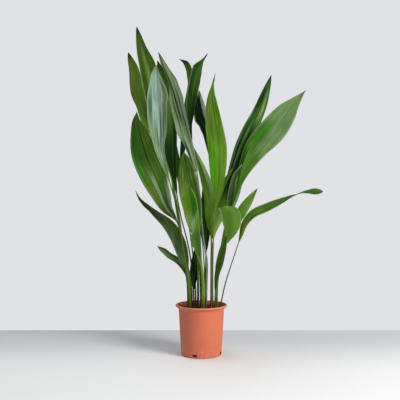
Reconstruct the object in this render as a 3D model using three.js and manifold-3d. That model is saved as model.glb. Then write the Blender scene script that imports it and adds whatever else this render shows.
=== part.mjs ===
// A potted cast iron plant: a flared nursery pot, its soil, and leaves that each stand on their own stem.
// Millimetres, +Z up, the front towards -Y. The origin is the middle of the pot's flat underside.
import * as THREE from 'three';
import { mergeVertices } from 'three/addons/utils/BufferGeometryUtils.js';
import Module from 'manifold-3d';

const wasm = await Module();
wasm.setup();

// Pot
const POT_HEIGHT = 182;
const RIM_RADIUS = 95;
const MOUTH_RADIUS = 88;
const NECK_RADIUS = 83;
const FOOT_RADIUS = 74;
const WALL = 2;
const FLOOR = 3;
const LIP_HEIGHT = 20;
const BEAD = 3.5;
const POT_SIDES = 48;
const DRAINS = 4;
const DRAIN_WIDTH = 18;
const DRAIN_HEIGHT = 9;
const DRAIN_LOW = 5;
const DRAIN_REACH = 12;
const DRAIN_ANGLE = -109;
const LIP_STEPS = [[0, 0], [0.25, 1.5], [0.45, 5]];
const MOUTH_DEPTH = 1;
const MOUTH_SLOPE = 4;

// Soil
const SOIL_EDGE = 156;
const SOIL_MOUND = 15;
const MOUND_RADIUS = 78;
const SOIL_BUMP = 2.2;
const LONG_WAVE = 19;
const SHORT_WAVE = 8;
const SOIL_RINGS = 5;
const SOIL_SIDES = 32;
const GAP = 0.3;
const HOLE_GAP = 0.45;

// Leaves
const ROOT_HEIGHT = 132;
const STEM_NECK = 0.62;
const STEM_STEP = 75;
const TIP_RADIUS = 0.7;
const BLADE_THICKNESS = 1;
const BLADE_STEPS = 11;
const SPINE_STEPS = 120;
const BLADE_FLATTENS_BY = 0.16;
const RIB_FADES = 3;
const EDGE_WAVES = 14;
const SECTION_ANGLES = [162, 126, 90, 54, 18];
const SECTION_ACROSS = [-1, -0.5, 0, 0.5, 1];

const DARK = 0x1c4410;
const SHADED = 0x274c14;
const MIDDLE = 0x3f6a24;
const OLIVE = 0x55701f;
const GREY = 0x6d8f68;
const LIGHT = 0x6e9150;
const BRIGHT = 0x53840f;

// root: where the stem leaves the soil's depth. path: the midline on from there, ending at the tip.
// stem: radius of the stem's foot. blade: length of the blade back from the tip. widest and taper shape
// its outline. turn: how far the blade's face turns from the front at its base. twist: how much further
// it has turned at its tip. fold: how far each half is raised. curl: how much more each half bends up,
// left and right. wave: height of the edge's waves. trim: shares of the blade's length, each with how much
// wider or narrower the left and right halves are there than the outline; the last holds to the tip.
const LEAVES = [
  {
    name: 'leaf_left_tallest', colour: MIDDLE, root: [-36, 26], stem: 3.6,
    path: [[-43, 28, 248], [-58, 30, 334], [-77, 34, 434], [-95, 40, 538], [-114, 48, 658],
      [-140, 58, 790], [-173, 70, 952], [-197, 80, 1062], [-213, 84, 1116], [-247, 92, 1226]],
    trim: [[0.72, 1, 1], [0.86, 1, 0.72], [0.95, 1, 0.8]],
    blade: 570, width: 84, widest: 0.55, taper: 1.8, turn: 25, twist: 10, fold: 18, curl: [0, 0], wave: 2,
  },
  {
    name: 'leaf_left_outer', colour: OLIVE, root: [-44, -28], stem: 3.4,
    path: [[-48, -36, 257], [-62, -50, 366], [-86, -61, 546], [-122, -65, 689], [-172, -68, 799],
      [-201, -73, 855], [-214, -78, 912], [-226, -84, 969], [-236, -90, 1027], [-257, -96, 1082]],
    trim: [[0.1, 0.8, 1], [0.26, 0.88, 1], [0.42, 0.76, 1], [0.62, 1, 1]],
    blade: 350, width: 62, widest: 0.6, taper: 1.8, turn: 36, twist: 5, fold: 14, curl: [0, 0], wave: 2,
  },
  {
    name: 'leaf_left_front', colour: GREY, root: [-38, -46], stem: 3.6,
    path: [[-44, -53, 259], [-61, -64, 368], [-87, -82, 536], [-121, -100, 662], [-140, -116, 741],
      [-143, -128, 813], [-146, -140, 884], [-152, -150, 954], [-154, -158, 1024]],
    trim: [[0.2, 0.85, 0.6], [0.31, 0.9, 0.5], [0.48, 1.08, 0.75], [0.66, 1.1, 0.85], [0.74, 1.12, 1.15],
      [0.8, 1.08, 1.15], [0.87, 1, 0.95], [0.96, 1.2, 0.7]],
    blade: 410, width: 76, widest: 0.6, taper: 2, turn: 15, twist: 0, fold: 16, curl: [0, 0], wave: 3,
  },
  {
    name: 'leaf_left_shaded', colour: DARK, root: [-24, 16], stem: 3.2,
    path: [[-31, 18, 250], [-38, 18, 335], [-53, 16, 416], [-75, 13, 501], [-93, 10, 601],
      [-105, 5, 711], [-106, 0, 839], [-120, -6, 948], [-144, -10, 1028], [-160, -14, 1073]],
    trim: [[0.7, 1, 1], [0.82, 1.15, 1.35], [0.92, 1.6, 1.7], [0.96, 2, 2]],
    blade: 500, width: 62, widest: 0.5, taper: 1.8, turn: 43, twist: 0, fold: 12, curl: [0, 0], wave: 2,
  },
  {
    name: 'leaf_left_broad', colour: BRIGHT, root: [-33, 2], stem: 3.6,
    path: [[-38, 2, 252], [-56, -1, 351], [-89, -8, 484], [-126, -14, 537], [-150, -20, 597],
      [-179, -22, 663], [-208, -18, 733], [-228, -10, 808], [-238, -4, 850], [-237, 0, 888]],
    trim: [[0.3, 1, 1], [0.45, 1, 1.22], [0.75, 1, 1.26], [0.87, 1, 1.35], [0.94, 1, 1.15]],
    blade: 440, width: 100, widest: 0.52, taper: 2.1, turn: 0, twist: 0, fold: 12, curl: [0, 15], wave: 3,
  },
  {
    name: 'leaf_left_striped', colour: GREY, root: [15, -10], stem: 4.2,
    path: [[19, -10, 254], [20, -12, 338], [8, -18, 418], [-2, -24, 520], [-13, -50, 648],
      [-31, -64, 729], [-48, -68, 786], [-76, -72, 875], [-100, -82, 961], [-134, -94, 1044],
      [-151, -100, 1083]],
    trim: [[0.1, 0.85, 0.5], [0.22, 0.85, 0.6], [0.27, 0.9, 0.62], [0.31, 1.08, 0.66],
      [0.36, 1.14, 0.78], [0.43, 1.04, 0.95], [0.55, 1.1, 1.15], [0.62, 1.15, 1.45], [0.68, 0.85, 1.5],
      [0.76, 0.5, 1.85], [0.85, 0.7, 1.75], [0.94, 1.6, 2], [0.98, 2.4, 2.4]],
    blade: 445, width: 61, widest: 0.4, taper: 1.8, turn: 33, twist: 5, fold: 14, curl: [0, 0], wave: 2,
  },
  {
    name: 'leaf_middle_hooked_left', colour: DARK, root: [0, 38], stem: 4,
    path: [[-3, 39, 246], [-12, 43, 395], [-43, 64, 545], [-72, 90, 686], [-65, 112, 795],
      [-49, 138, 934], [-39, 156, 1035], [-56, 168, 1099], [-87, 178, 1122]],
    trim: [[0.75, 1, 1], [0.85, 1.4, 1.4], [0.93, 1.8, 1.8], [0.97, 1.2, 1.2]],
    blade: 490, width: 42, widest: 0.5, taper: 1.7, turn: 40, twist: 0, fold: 14, curl: [0, 0], wave: 1,
  },
  {
    name: 'leaf_middle_hooked_right', colour: SHADED, root: [2, 20], stem: 4,
    path: [[1, 22, 249], [-4, 26, 397], [-15, 36, 601], [-35, 46, 751], [-40, 54, 846], [-35, 62, 941],
      [-21, 70, 1018], [0, 78, 1082], [25, 84, 1122]],
    trim: [[0.25, 0.5, 0.5], [0.35, 0.84, 0.84], [0.46, 0.92, 1], [0.66, 1.05, 1.12], [0.76, 1.2, 1.05],
      [0.82, 1.4, 0.85], [0.842, 1.5, 0.77], [0.867, 1.25, 0.7], [0.885, 0.95, 0.55], [0.915, 0.6, 0.5],
      [0.94, 0.4, 0.45]],
    blade: 390, width: 49, widest: 0.62, taper: 1.6, turn: 33, twist: 0, fold: 12, curl: [0, 0], wave: 1,
  },
  {
    name: 'leaf_middle_dark', colour: DARK, root: [36, 32], stem: 3.2,
    path: [[36, 34, 248], [38, 40, 415], [48, 58, 564], [48, 80, 716], [26, 98, 832], [3, 114, 919],
      [-9, 124, 990]],
    trim: [[0.5, 1, 1], [0.6, 1.2, 1], [0.7, 1.75, 1], [0.8, 1.9, 1], [0.9, 1.5, 1]],
    blade: 360, width: 52, widest: 0.55, taper: 1.9, turn: 35, twist: 0, fold: 12, curl: [0, 0], wave: 1,
  },
  {
    name: 'leaf_middle_bright', colour: BRIGHT, root: [42, -8], stem: 3.4,
    path: [[41, -10, 253], [43, -12, 400], [51, -14, 546], [60, -22, 651], [59, -32, 745],
      [46, -44, 835], [37, -54, 926], [40, -60, 971], [50, -66, 1016]],
    trim: [[0.8, 1, 1], [0.857, 0.85, 0.85], [0.898, 0.62, 0.66], [0.927, 0.5, 0.55], [0.95, 0.75, 0.8]],
    blade: 490, width: 71, widest: 0.46, taper: 2.3, turn: 8, twist: 0, fold: 12, curl: [0, 0], wave: 2,
  },
  {
    name: 'leaf_right_tall', colour: SHADED, root: [50, 26], stem: 3.4,
    path: [[54, 27, 248], [64, 30, 334], [79, 34, 415], [96, 40, 527], [111, 48, 631], [141, 58, 733],
      [178, 68, 817], [219, 80, 896], [249, 90, 976], [268, 96, 1042]],
    trim: [[0.15, 1, 1], [0.35, 0.86, 1], [0.6, 0.84, 1], [0.72, 0.88, 0.84], [0.92, 1, 0.8]],
    blade: 540, width: 68, widest: 0.55, taper: 1.9, turn: 25, twist: 0, fold: 14, curl: [0, 0], wave: 2,
  },
  {
    name: 'leaf_right_broad', colour: LIGHT, root: [54, -4], stem: 6,
    path: [[55, -6, 253], [63, -10, 338], [77, -13, 400], [97, -18, 484], [127, -26, 577],
      [153, -36, 667], [196, -48, 749], [255, -62, 815], [309, -76, 884], [368, -90, 951]],
    trim: [[0.8, 1, 1], [0.9, 0.88, 0.84], [0.97, 0.8, 0.72]],
    blade: 480, width: 97, widest: 0.6, taper: 3, turn: 0, twist: 0, fold: 9, curl: [0, 0], wave: 3,
  },
  {
    name: 'leaf_right_slim', colour: GREY, root: [56, -22], stem: 3,
    path: [[57, -26, 256], [67, -32, 340], [81, -42, 420], [99, -54, 510], [111, -62, 600],
      [123, -68, 656], [144, -74, 690]],
    blade: 230, width: 30, widest: 0.5, taper: 2, turn: 50, twist: 0, fold: 18, curl: [0, 0], wave: 0,
  },
  {
    name: 'leaf_right_short', colour: MIDDLE, root: [58, 12], stem: 3,
    path: [[60, 12, 251], [71, 12, 335], [92, 8, 417], [126, 0, 483], [163, -14, 544], [203, -34, 606]],
    blade: 210, width: 40, widest: 0.5, taper: 2, turn: 25, twist: 0, fold: 10, curl: [0, 0], wave: 1,
  },
  {
    name: 'leaf_front_arched', colour: BRIGHT, root: [36, -40], stem: 3.4,
    path: [[37, -44, 258], [38, -56, 385], [50, -78, 461], [66, -108, 522], [85, -138, 543],
      [102, -160, 523], [105, -170, 489], [100, -175, 456], [88, -178, 417]],
    trim: [[0.74, 0.95, 0.95], [0.8, 0.87, 0.87], [0.85, 0.77, 0.77], [0.907, 0.62, 0.65],
      [0.96, 0.4, 0.45], [0.995, 0.4, 0.45]],
    blade: 310, width: 88, widest: 0.68, taper: 2.4, turn: -35, twist: 0, fold: 8, curl: [0, 0], wave: 2,
  },
  {
    name: 'leaf_right_long', colour: MIDDLE, root: [61, -14], stem: 2.8,
    path: [[86, -14, 254], [119, -20, 360], [142, -25, 430], [157, -29, 476], [188, -37, 513],
      [237, -50, 538], [297, -66, 563], [357, -84, 589], [426, -102, 594]],
    trim: [[0.7, 1, 1], [0.78, 0.6, 0.6], [0.85, 1, 1], [0.93, 1.5, 1.5]],
    blade: 380, width: 44, widest: 0.52, taper: 1.3, turn: 42, twist: 138, fold: 8, curl: [0, 0], wave: 2,
  },
  {
    name: 'leaf_front_olive', colour: OLIVE, root: [-12, -18], stem: 5,
    path: [[-12, -20, 255], [-14, -30, 365], [-24, -48, 471], [-33, -58, 538], [-46, -58, 605],
      [-57, -30, 671], [-65, 2, 740]],
    trim: [[0.2, 1, 1], [0.4, 0.86, 1], [0.7, 0.84, 1.05], [0.85, 0.9, 1.25], [0.93, 1, 1.35]],
    blade: 350, width: 84, widest: 0.52, taper: 1.95, turn: 10, twist: 0, fold: 12, curl: [0, 0], wave: 2,
  },
  {
    name: 'leaf_front_young', colour: BRIGHT, root: [4, -40], stem: 7.5,
    path: [[6, -48, 259], [0, -62, 332], [-10, -74, 379], [-17, -90, 451], [-23, -108, 529],
      [-30, -118, 574], [-43, -126, 619]],
    trim: [[0.2, 0.8, 1], [0.27, 1.1, 1], [0.33, 1.25, 1], [0.38, 1, 1], [0.44, 0.62, 1],
      [0.57, 1.12, 1.05], [0.69, 1.75, 1.1], [0.84, 2.3, 1.2], [0.93, 2, 1.2]],
    blade: 300, width: 48, widest: 0.55, taper: 1.5, turn: 20, twist: 0, fold: 18, curl: [0, 40], wave: 1,
  },
  {
    name: 'leaf_middle_slender', colour: MIDDLE, root: [37, -22], stem: 3,
    path: [[36, -26, 256], [35, -32, 419], [31, -38, 511], [31, -40, 575], [18, -38, 636],
      [-3, -32, 694], [-27, -20, 753]],
    blade: 330, width: 48, widest: 0.45, taper: 1.6, turn: 36, twist: 0, fold: 12, curl: [0, 0], wave: 1,
  },
  {
    name: 'leaf_right_inner', colour: SHADED, root: [41, 12], stem: 3.2,
    path: [[42, 14, 250], [43, 18, 398], [51, 22, 501], [73, 26, 575], [99, 28, 638], [129, 26, 701]],
    trim: [[0.28, 1, 1], [0.4, 1, 1.7], [0.5, 1, 1.9], [0.62, 1, 1.3], [0.75, 1, 1]],
    blade: 300, width: 50, widest: 0.45, taper: 1.9, turn: 30, twist: 0, fold: 12, curl: [0, 0], wave: 1,
  },
  {
    name: 'leaf_left_low', colour: MIDDLE, root: [-46, -12], stem: 6.5,
    path: [[-49, -12, 254], [-62, -15, 350], [-83, -26, 424], [-118, -42, 480], [-163, -60, 523],
      [-190, -68, 545], [-214, -76, 567], [-233, -84, 598]],
    trim: [[0.3, 0.94, 0.94], [0.75, 0.96, 0.96], [0.85, 1.4, 1.4], [0.92, 1.9, 1.9], [0.98, 3, 3]],
    blade: 360, width: 60, widest: 0.38, taper: 1.8, turn: 15, twist: 58, fold: 20, curl: [0, 0], wave: 2,
  },
  {
    name: 'leaf_left_lowest', colour: SHADED, root: [-50, 10], stem: 3,
    path: [[-51, 8, 240], [-64, 8, 311], [-89, 4, 345], [-120, -8, 366], [-138, -18, 383],
      [-159, -30, 397]],
    trim: [[0.7, 1, 1], [0.9, 1.45, 1.45]],
    blade: 165, width: 34, widest: 0.5, taper: 1.8, turn: 35, twist: 0, fold: 10, curl: [0, 0], wave: 1,
  },
  {
    name: 'leaf_front_folded', colour: SHADED, root: [50, -34], stem: 4,
    path: [[53, -34, 261], [60, -38, 312], [70, -44, 359], [82, -54, 410], [95, -62, 452]],
    trim: [[0.15, 0.5, 0.55], [0.32, 0.5, 0.65], [0.48, 0.55, 0.9], [0.7, 0.6, 0.95]],
    blade: 230, width: 46, widest: 0.5, taper: 1.8, turn: 30, twist: 0, fold: 20, curl: [0, 0], wave: 1,
  },
  {
    name: 'leaf_back_young', colour: DARK, root: [-26, 40], stem: 3,
    path: [[-28, 45, 221], [-26, 56, 280], [-18, 72, 339], [-12, 92, 413]],
    blade: 190, width: 40, widest: 0.45, taper: 1.8, turn: 20, twist: 0, fold: 20, curl: [0, 0], wave: 1,
  },
  {
    name: 'leaf_back_inner', colour: DARK, root: [18, 8], stem: 4.2,
    path: [[17, 10, 251], [17, 14, 379], [19, 18, 475], [17, 18, 549], [6, 14, 630]],
    blade: 260, width: 48, widest: 0.45, taper: 1.8, turn: 35, twist: 0, fold: 12, curl: [0, 0], wave: 1,
  },
  {
    name: 'leaf_back_left', colour: SHADED, root: [-20, 54], stem: 3.4,
    path: [[-26, 76, 300], [-50, 120, 480], [-74, 165, 640], [-104, 195, 780], [-122, 215, 890]],
    blade: 400, width: 66, widest: 0.55, taper: 2, turn: 60, twist: 0, fold: 14, curl: [0, 0], wave: 2,
  },
  {
    name: 'leaf_back_middle', colour: MIDDLE, root: [14, 54], stem: 3.2,
    path: [[12, 76, 300], [0, 120, 440], [-22, 165, 570], [-48, 200, 660], [-66, 222, 720]],
    blade: 340, width: 66, widest: 0.5, taper: 2, turn: -60, twist: 0, fold: 14, curl: [0, 0], wave: 2,
  },
  {
    name: 'leaf_back_right', colour: MIDDLE, root: [52, 44], stem: 3.2,
    path: [[62, 66, 300], [86, 110, 440], [120, 160, 580], [155, 200, 690], [190, 225, 795]],
    blade: 380, width: 70, widest: 0.5, taper: 2, turn: -55, twist: 0, fold: 14, curl: [0, 0], wave: 2,
  },
];

// A closed solid from numbered points and triangles.
function solidOf(points, triangles) {
  const mesh = new wasm.Mesh({
    numProp: 3,
    vertProperties: new Float32Array(points.flat()),
    triVerts: new Uint32Array(triangles.flat()),
  });
  return new wasm.Manifold(mesh);
}

// A solid from a closed three.js geometry, its shared corners merged.
function solidFrom(geometry) {
  const bare = geometry.index ? geometry.toNonIndexed() : geometry;
  bare.deleteAttribute('normal');
  bare.deleteAttribute('uv');
  const merged = mergeVertices(bare, 1e-3);
  const corners = Array.from(merged.attributes.position.array);
  return solidOf(corners, Array.from(merged.index.array));
}

function meshOf(name, solid, colour, roughness) {
  const cut = solid.getMesh();
  const geometry = new THREE.BufferGeometry();
  geometry.setAttribute('position', new THREE.BufferAttribute(cut.vertProperties, 3));
  geometry.setIndex(new THREE.BufferAttribute(cut.triVerts, 1));
  const material = new THREE.MeshStandardMaterial({ color: colour, roughness, metalness: 0 });
  const mesh = new THREE.Mesh(geometry, material);
  mesh.name = name;
  return mesh;
}

// Points of an arc in a lathe's profile, angles in degrees.
function profileArc(radius, height, size, start, end, steps) {
  const points = [];
  for (let i = 0; i <= steps; i += 1) {
    const angle = THREE.MathUtils.degToRad(start + ((end - start) * i) / steps);
    points.push(new THREE.Vector2(radius + size * Math.cos(angle), height + size * Math.sin(angle)));
  }
  return points;
}

// The pot's inside radius at a height, below the lip.
function insideRadius(height) {
  const slope = (NECK_RADIUS - FOOT_RADIUS) / (POT_HEIGHT - LIP_HEIGHT);
  return FOOT_RADIUS - WALL + slope * height;
}

function pot() {
  const neck = POT_HEIGHT - LIP_HEIGHT;
  const profile = [
    new THREE.Vector2(0, 0),
    ...profileArc(FOOT_RADIUS - WALL, WALL, WALL, -90, 0, 2),
    ...LIP_STEPS.map(([rise, flare]) => new THREE.Vector2(NECK_RADIUS + flare, neck + LIP_HEIGHT * rise)),
    ...profileArc(RIM_RADIUS - BEAD, POT_HEIGHT - BEAD, BEAD, -60, 90, 4),
    new THREE.Vector2(MOUTH_RADIUS, POT_HEIGHT - MOUTH_DEPTH),
    new THREE.Vector2(MOUTH_RADIUS - MOUTH_SLOPE, POT_HEIGHT - LIP_HEIGHT / 2),
    new THREE.Vector2(insideRadius(neck), neck),
    new THREE.Vector2(insideRadius(FLOOR), FLOOR),
    new THREE.Vector2(0, FLOOR),
  ];
  const turned = new THREE.LatheGeometry(profile, POT_SIDES);
  turned.rotateX(Math.PI / 2);
  let solid = solidFrom(turned);
  for (let i = 0; i < DRAINS; i += 1) {
    const drain = new THREE.BoxGeometry(DRAIN_REACH, DRAIN_WIDTH, DRAIN_HEIGHT);
    drain.translate(FOOT_RADIUS, 0, DRAIN_LOW + DRAIN_HEIGHT / 2);
    drain.rotateZ(THREE.MathUtils.degToRad(DRAIN_ANGLE + (360 / DRAINS) * i));
    solid = solid.subtract(solidFrom(drain));
  }
  return meshOf('pot', solid, 0xc8694b, 0.45);
}

// The leaf's midline: place, direction and side at a share of its length. The side starts across the
// front view and is carried along the midline without turning about it.
function spineOf(leaf) {
  const points = [[...leaf.root, ROOT_HEIGHT], ...leaf.path].map((p) => new THREE.Vector3(...p));
  const curve = new THREE.CatmullRomCurve3(points, false, 'centripetal');
  const sides = [];
  const side = new THREE.Vector3(1, 0, 0);
  for (let i = 0; i <= SPINE_STEPS; i += 1) {
    const along = curve.getTangentAt(i / SPINE_STEPS);
    side.addScaledVector(along, -side.dot(along)).normalize();
    sides.push(side.clone());
  }
  const length = curve.getLength();
  function at(share) {
    const along = curve.getTangentAt(share);
    const near = sides[Math.round(share * SPINE_STEPS)].clone();
    near.addScaledVector(along, -near.dot(along)).normalize();
    return { place: curve.getPointAt(share), along, side: near };
  }
  return { at, length };
}

// Half the blade's width at a share of its length, as part of its greatest half width.
function outline(leaf, share) {
  const rise = (share / leaf.widest) ** (leaf.widest * leaf.taper);
  const fall = ((1 - share) / (1 - leaf.widest)) ** ((1 - leaf.widest) * leaf.taper);
  return rise * fall;
}

// How much wider or narrower than its plain outline one half of the blade is at a share of its length.
function trimmed(leaf, share, hand) {
  const stops = [[0, 1, 1], ...(leaf.trim ?? [])];
  for (let i = 1; i < stops.length; i += 1) {
    const before = stops[i - 1];
    const after = stops[i];
    if (share <= after[0]) {
      const change = THREE.MathUtils.smoothstep(share, before[0], after[0]);
      return THREE.MathUtils.lerp(before[hand], after[hand], change);
    }
  }
  return stops.at(-1)[hand];
}

// One half of the blade's section: an arc that leaves the midrib at the fold and bends on by the curl.
function sectionPoint(across, halfWidth, fold, curl) {
  const reach = Math.abs(across);
  const bend = fold + curl * reach;
  const turned = Math.abs(curl) > 1e-6;
  const out = turned ? (Math.sin(bend) - Math.sin(fold)) / curl : reach * Math.cos(fold);
  const up = turned ? (Math.cos(fold) - Math.cos(bend)) / curl : reach * Math.sin(fold);
  const hand = Math.sign(across);
  return { x: hand * out * halfWidth, z: up * halfWidth, tilt: hand * bend };
}

// The two rows of points, upper and lower, of a leaf's section at one station.
function sectionRows(leaf, bladeShare, extra) {
  const inBlade = Math.max(bladeShare, 0);
  const stemShare = Math.max(-bladeShare, 0);
  const neck = leaf.stem * STEM_NECK;
  const rib = Math.max(neck + (leaf.stem - neck) * stemShare - neck * inBlade * RIB_FADES, TIP_RADIUS);
  const plainHalf = (leaf.width / 2) * (inBlade > 0 ? outline(leaf, inBlade) : 0);
  const halves = [1, 2].map((hand) => Math.hypot(rib, plainHalf * trimmed(leaf, inBlade, hand)) + extra);
  const flat = THREE.MathUtils.smoothstep(inBlade, 0, BLADE_FLATTENS_BY);
  const fold = THREE.MathUtils.degToRad(leaf.fold);
  const ripple = leaf.wave * Math.sin(inBlade * EDGE_WAVES + leaf.root[0]) * Math.sin(Math.PI * inBlade);
  const upper = [];
  const lower = [];
  SECTION_ANGLES.forEach((degrees, i) => {
    const angle = THREE.MathUtils.degToRad(degrees);
    const across = SECTION_ACROSS[i];
    const halfWidth = across < 0 ? halves[0] : halves[1];
    const curl = THREE.MathUtils.degToRad(across < 0 ? leaf.curl[0] : leaf.curl[1]);
    const blade = sectionPoint(across, halfWidth, fold, curl);
    const raised = blade.z + ripple * across ** 2;
    for (const [row, face] of [[upper, 1], [lower, -1]]) {
      const skin = (face * BLADE_THICKNESS) / 2;
      const round = { x: halfWidth * Math.cos(angle), z: face * (rib + extra) * Math.sin(angle) };
      const x = THREE.MathUtils.lerp(round.x, blade.x - skin * Math.sin(blade.tilt), flat);
      const z = THREE.MathUtils.lerp(round.z, raised + skin * Math.cos(blade.tilt), flat);
      row.push([x, z]);
    }
  });
  return [upper, lower];
}

// A leaf's stations: shares of the midline, with the share of the blade, below 0 on the stem.
function stationsOf(leaf, length) {
  const stemLength = length - leaf.blade;
  const stemSteps = Math.max(1, Math.round(stemLength / STEM_STEP));
  const stations = [];
  for (let i = 0; i < stemSteps; i += 1) {
    stations.push({ share: (stemLength * i) / stemSteps / length, bladeShare: i / stemSteps - 1 });
  }
  for (let i = 0; i <= BLADE_STEPS; i += 1) {
    const bladeShare = i / BLADE_STEPS;
    stations.push({ share: Math.min((stemLength + leaf.blade * bladeShare) / length, 1), bladeShare });
  }
  return stations;
}

// A closed skin over the stations' sections, its foot set deeper by a length. Both faces are split into
// triangles alike.
function skinOver(leaf, spine, stations, extra, deeper) {
  const wide = SECTION_ACROSS.length;
  const points = [];
  for (const station of stations) {
    const { place, along, side } = spine.at(station.share);
    if (station.share === 0) {
      place.addScaledVector(along, -deeper);
    }
    const roll = THREE.MathUtils.degToRad(leaf.turn + leaf.twist * Math.max(station.bladeShare, 0) ** 3);
    const right = side.clone().applyAxisAngle(along, -roll);
    const up = new THREE.Vector3().crossVectors(right, along);
    for (const row of sectionRows(leaf, station.bladeShare, extra)) {
      for (const [x, z] of row) {
        points.push(place.clone().addScaledVector(right, x).addScaledVector(up, z).toArray());
      }
    }
  }
  const upper = (i, j) => i * wide * 2 + j;
  const lower = (i, j) => i * wide * 2 + wide + j;
  const triangles = [];
  for (let i = 0; i + 1 < stations.length; i += 1) {
    for (let j = 0; j + 1 < wide; j += 1) {
      triangles.push([upper(i, j), upper(i, j + 1), upper(i + 1, j + 1)]);
      triangles.push([upper(i, j), upper(i + 1, j + 1), upper(i + 1, j)]);
      triangles.push([lower(i, j), lower(i + 1, j + 1), lower(i, j + 1)]);
      triangles.push([lower(i, j), lower(i + 1, j), lower(i + 1, j + 1)]);
    }
    triangles.push([upper(i, 0), upper(i + 1, 0), lower(i + 1, 0)]);
    triangles.push([upper(i, 0), lower(i + 1, 0), lower(i, 0)]);
    triangles.push([upper(i, wide - 1), lower(i + 1, wide - 1), upper(i + 1, wide - 1)]);
    triangles.push([upper(i, wide - 1), lower(i, wide - 1), lower(i + 1, wide - 1)]);
  }
  const last = stations.length - 1;
  for (let j = 0; j + 1 < wide; j += 1) {
    triangles.push([upper(0, j), lower(0, j), lower(0, j + 1)]);
    triangles.push([upper(0, j), lower(0, j + 1), upper(0, j + 1)]);
    triangles.push([upper(last, j), lower(last, j + 1), lower(last, j)]);
    triangles.push([upper(last, j), upper(last, j + 1), lower(last, j + 1)]);
  }
  return solidOf(points, triangles);
}

function leafMesh(leaf) {
  const spine = spineOf(leaf);
  const solid = skinOver(leaf, spine, stationsOf(leaf, spine.length), 0, 0);
  return meshOf(leaf.name, solid, leaf.colour, 0.4);
}

// The hole that a leaf's stem stands in: the stem's own foot, a little fatter and deeper.
function stemHole(leaf) {
  const spine = spineOf(leaf);
  const stations = stationsOf(leaf, spine.length).slice(0, 2);
  return skinOver(leaf, spine, stations, HOLE_GAP, GAP);
}

function soilHeight(x, y) {
  const long = Math.sin(x / LONG_WAVE + 1) * Math.cos(y / LONG_WAVE);
  const short = Math.sin((x + y) / SHORT_WAVE) * Math.cos((y - x / 2) / SHORT_WAVE);
  const mound = SOIL_MOUND * Math.max(1 - (x * x + y * y) / MOUND_RADIUS ** 2, 0);
  return SOIL_EDGE + mound + (SOIL_BUMP / 2) * (long + short);
}

function soil() {
  const points = [[0, 0, soilHeight(0, 0)]];
  const triangles = [];
  const ringPoint = (ring, i) => 1 + ring * SOIL_SIDES + (i % SOIL_SIDES);
  const edge = insideRadius(SOIL_EDGE - SOIL_BUMP) - GAP * 2;
  const bottom = FLOOR + GAP;
  for (let ring = 1; ring <= SOIL_RINGS + 1; ring += 1) {
    const low = ring > SOIL_RINGS;
    const radius = low ? insideRadius(bottom) - GAP * 2 : (edge * ring) / SOIL_RINGS;
    for (let i = 0; i < SOIL_SIDES; i += 1) {
      const angle = (2 * Math.PI * i) / SOIL_SIDES;
      const x = radius * Math.cos(angle);
      const y = radius * Math.sin(angle);
      points.push([x, y, low ? bottom : soilHeight(x, y)]);
    }
  }
  points.push([0, 0, bottom]);
  for (let i = 0; i < SOIL_SIDES; i += 1) {
    triangles.push([0, ringPoint(0, i), ringPoint(0, i + 1)]);
    for (let ring = 0; ring < SOIL_RINGS; ring += 1) {
      triangles.push([ringPoint(ring, i), ringPoint(ring + 1, i), ringPoint(ring + 1, i + 1)]);
      triangles.push([ringPoint(ring, i), ringPoint(ring + 1, i + 1), ringPoint(ring, i + 1)]);
    }
    triangles.push([points.length - 1, ringPoint(SOIL_RINGS, i + 1), ringPoint(SOIL_RINGS, i)]);
  }
  let solid = solidOf(points, triangles);
  for (const leaf of LEAVES) {
    solid = solid.subtract(stemHole(leaf));
  }
  return meshOf('soil', solid, 0x3a2413, 0.95);
}

const plant = new THREE.Group();
plant.add(pot(), soil());
for (const leaf of LEAVES) {
  plant.add(leafMesh(leaf));
}

export default plant;
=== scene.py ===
"""A potted cast iron plant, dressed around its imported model: pot, soil, leaves, floor, light and camera."""

import math
import random

import bpy
from bpy.props import FloatProperty, FloatVectorProperty, IntProperty, PointerProperty
from mathutils import Matrix, Quaternion, Vector, noise


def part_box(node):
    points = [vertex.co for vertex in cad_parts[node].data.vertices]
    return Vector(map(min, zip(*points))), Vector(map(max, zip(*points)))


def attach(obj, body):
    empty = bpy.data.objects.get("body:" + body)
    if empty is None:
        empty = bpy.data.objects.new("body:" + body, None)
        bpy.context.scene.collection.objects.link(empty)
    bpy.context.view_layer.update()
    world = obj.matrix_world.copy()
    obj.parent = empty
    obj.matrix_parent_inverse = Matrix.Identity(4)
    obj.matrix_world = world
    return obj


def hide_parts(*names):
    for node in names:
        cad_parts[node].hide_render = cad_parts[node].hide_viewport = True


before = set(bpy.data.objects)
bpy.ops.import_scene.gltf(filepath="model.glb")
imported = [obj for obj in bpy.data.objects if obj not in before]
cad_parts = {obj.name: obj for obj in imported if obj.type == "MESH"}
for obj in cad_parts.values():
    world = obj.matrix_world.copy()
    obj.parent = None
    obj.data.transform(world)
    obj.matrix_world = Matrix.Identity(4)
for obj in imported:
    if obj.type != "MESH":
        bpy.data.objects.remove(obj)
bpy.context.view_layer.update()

bl_info = {
    "name": "Potted cast iron plant",
    "version": (1, 0, 0),
    "blender": (4, 5, 0),
    "location": "3D View > Sidebar > Plant",
    "description": "Makes the pot, the soil and the leaves of a potted cast iron plant, and its stage",
    "category": "Add Mesh",
}

_, POT_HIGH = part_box("pot")
SOIL_LOW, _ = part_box("soil")
MM = 0.001


def linear(code):
    """A screen colour such as 0x4e7d1f as the red, green and blue that light is worked out with."""
    parts = [((code >> shift) & 255) / 255 for shift in (16, 8, 0)]
    return [p / 12.92 if p <= 0.04045 else ((p + 0.055) / 1.055) ** 2.4 for p in parts]


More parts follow.
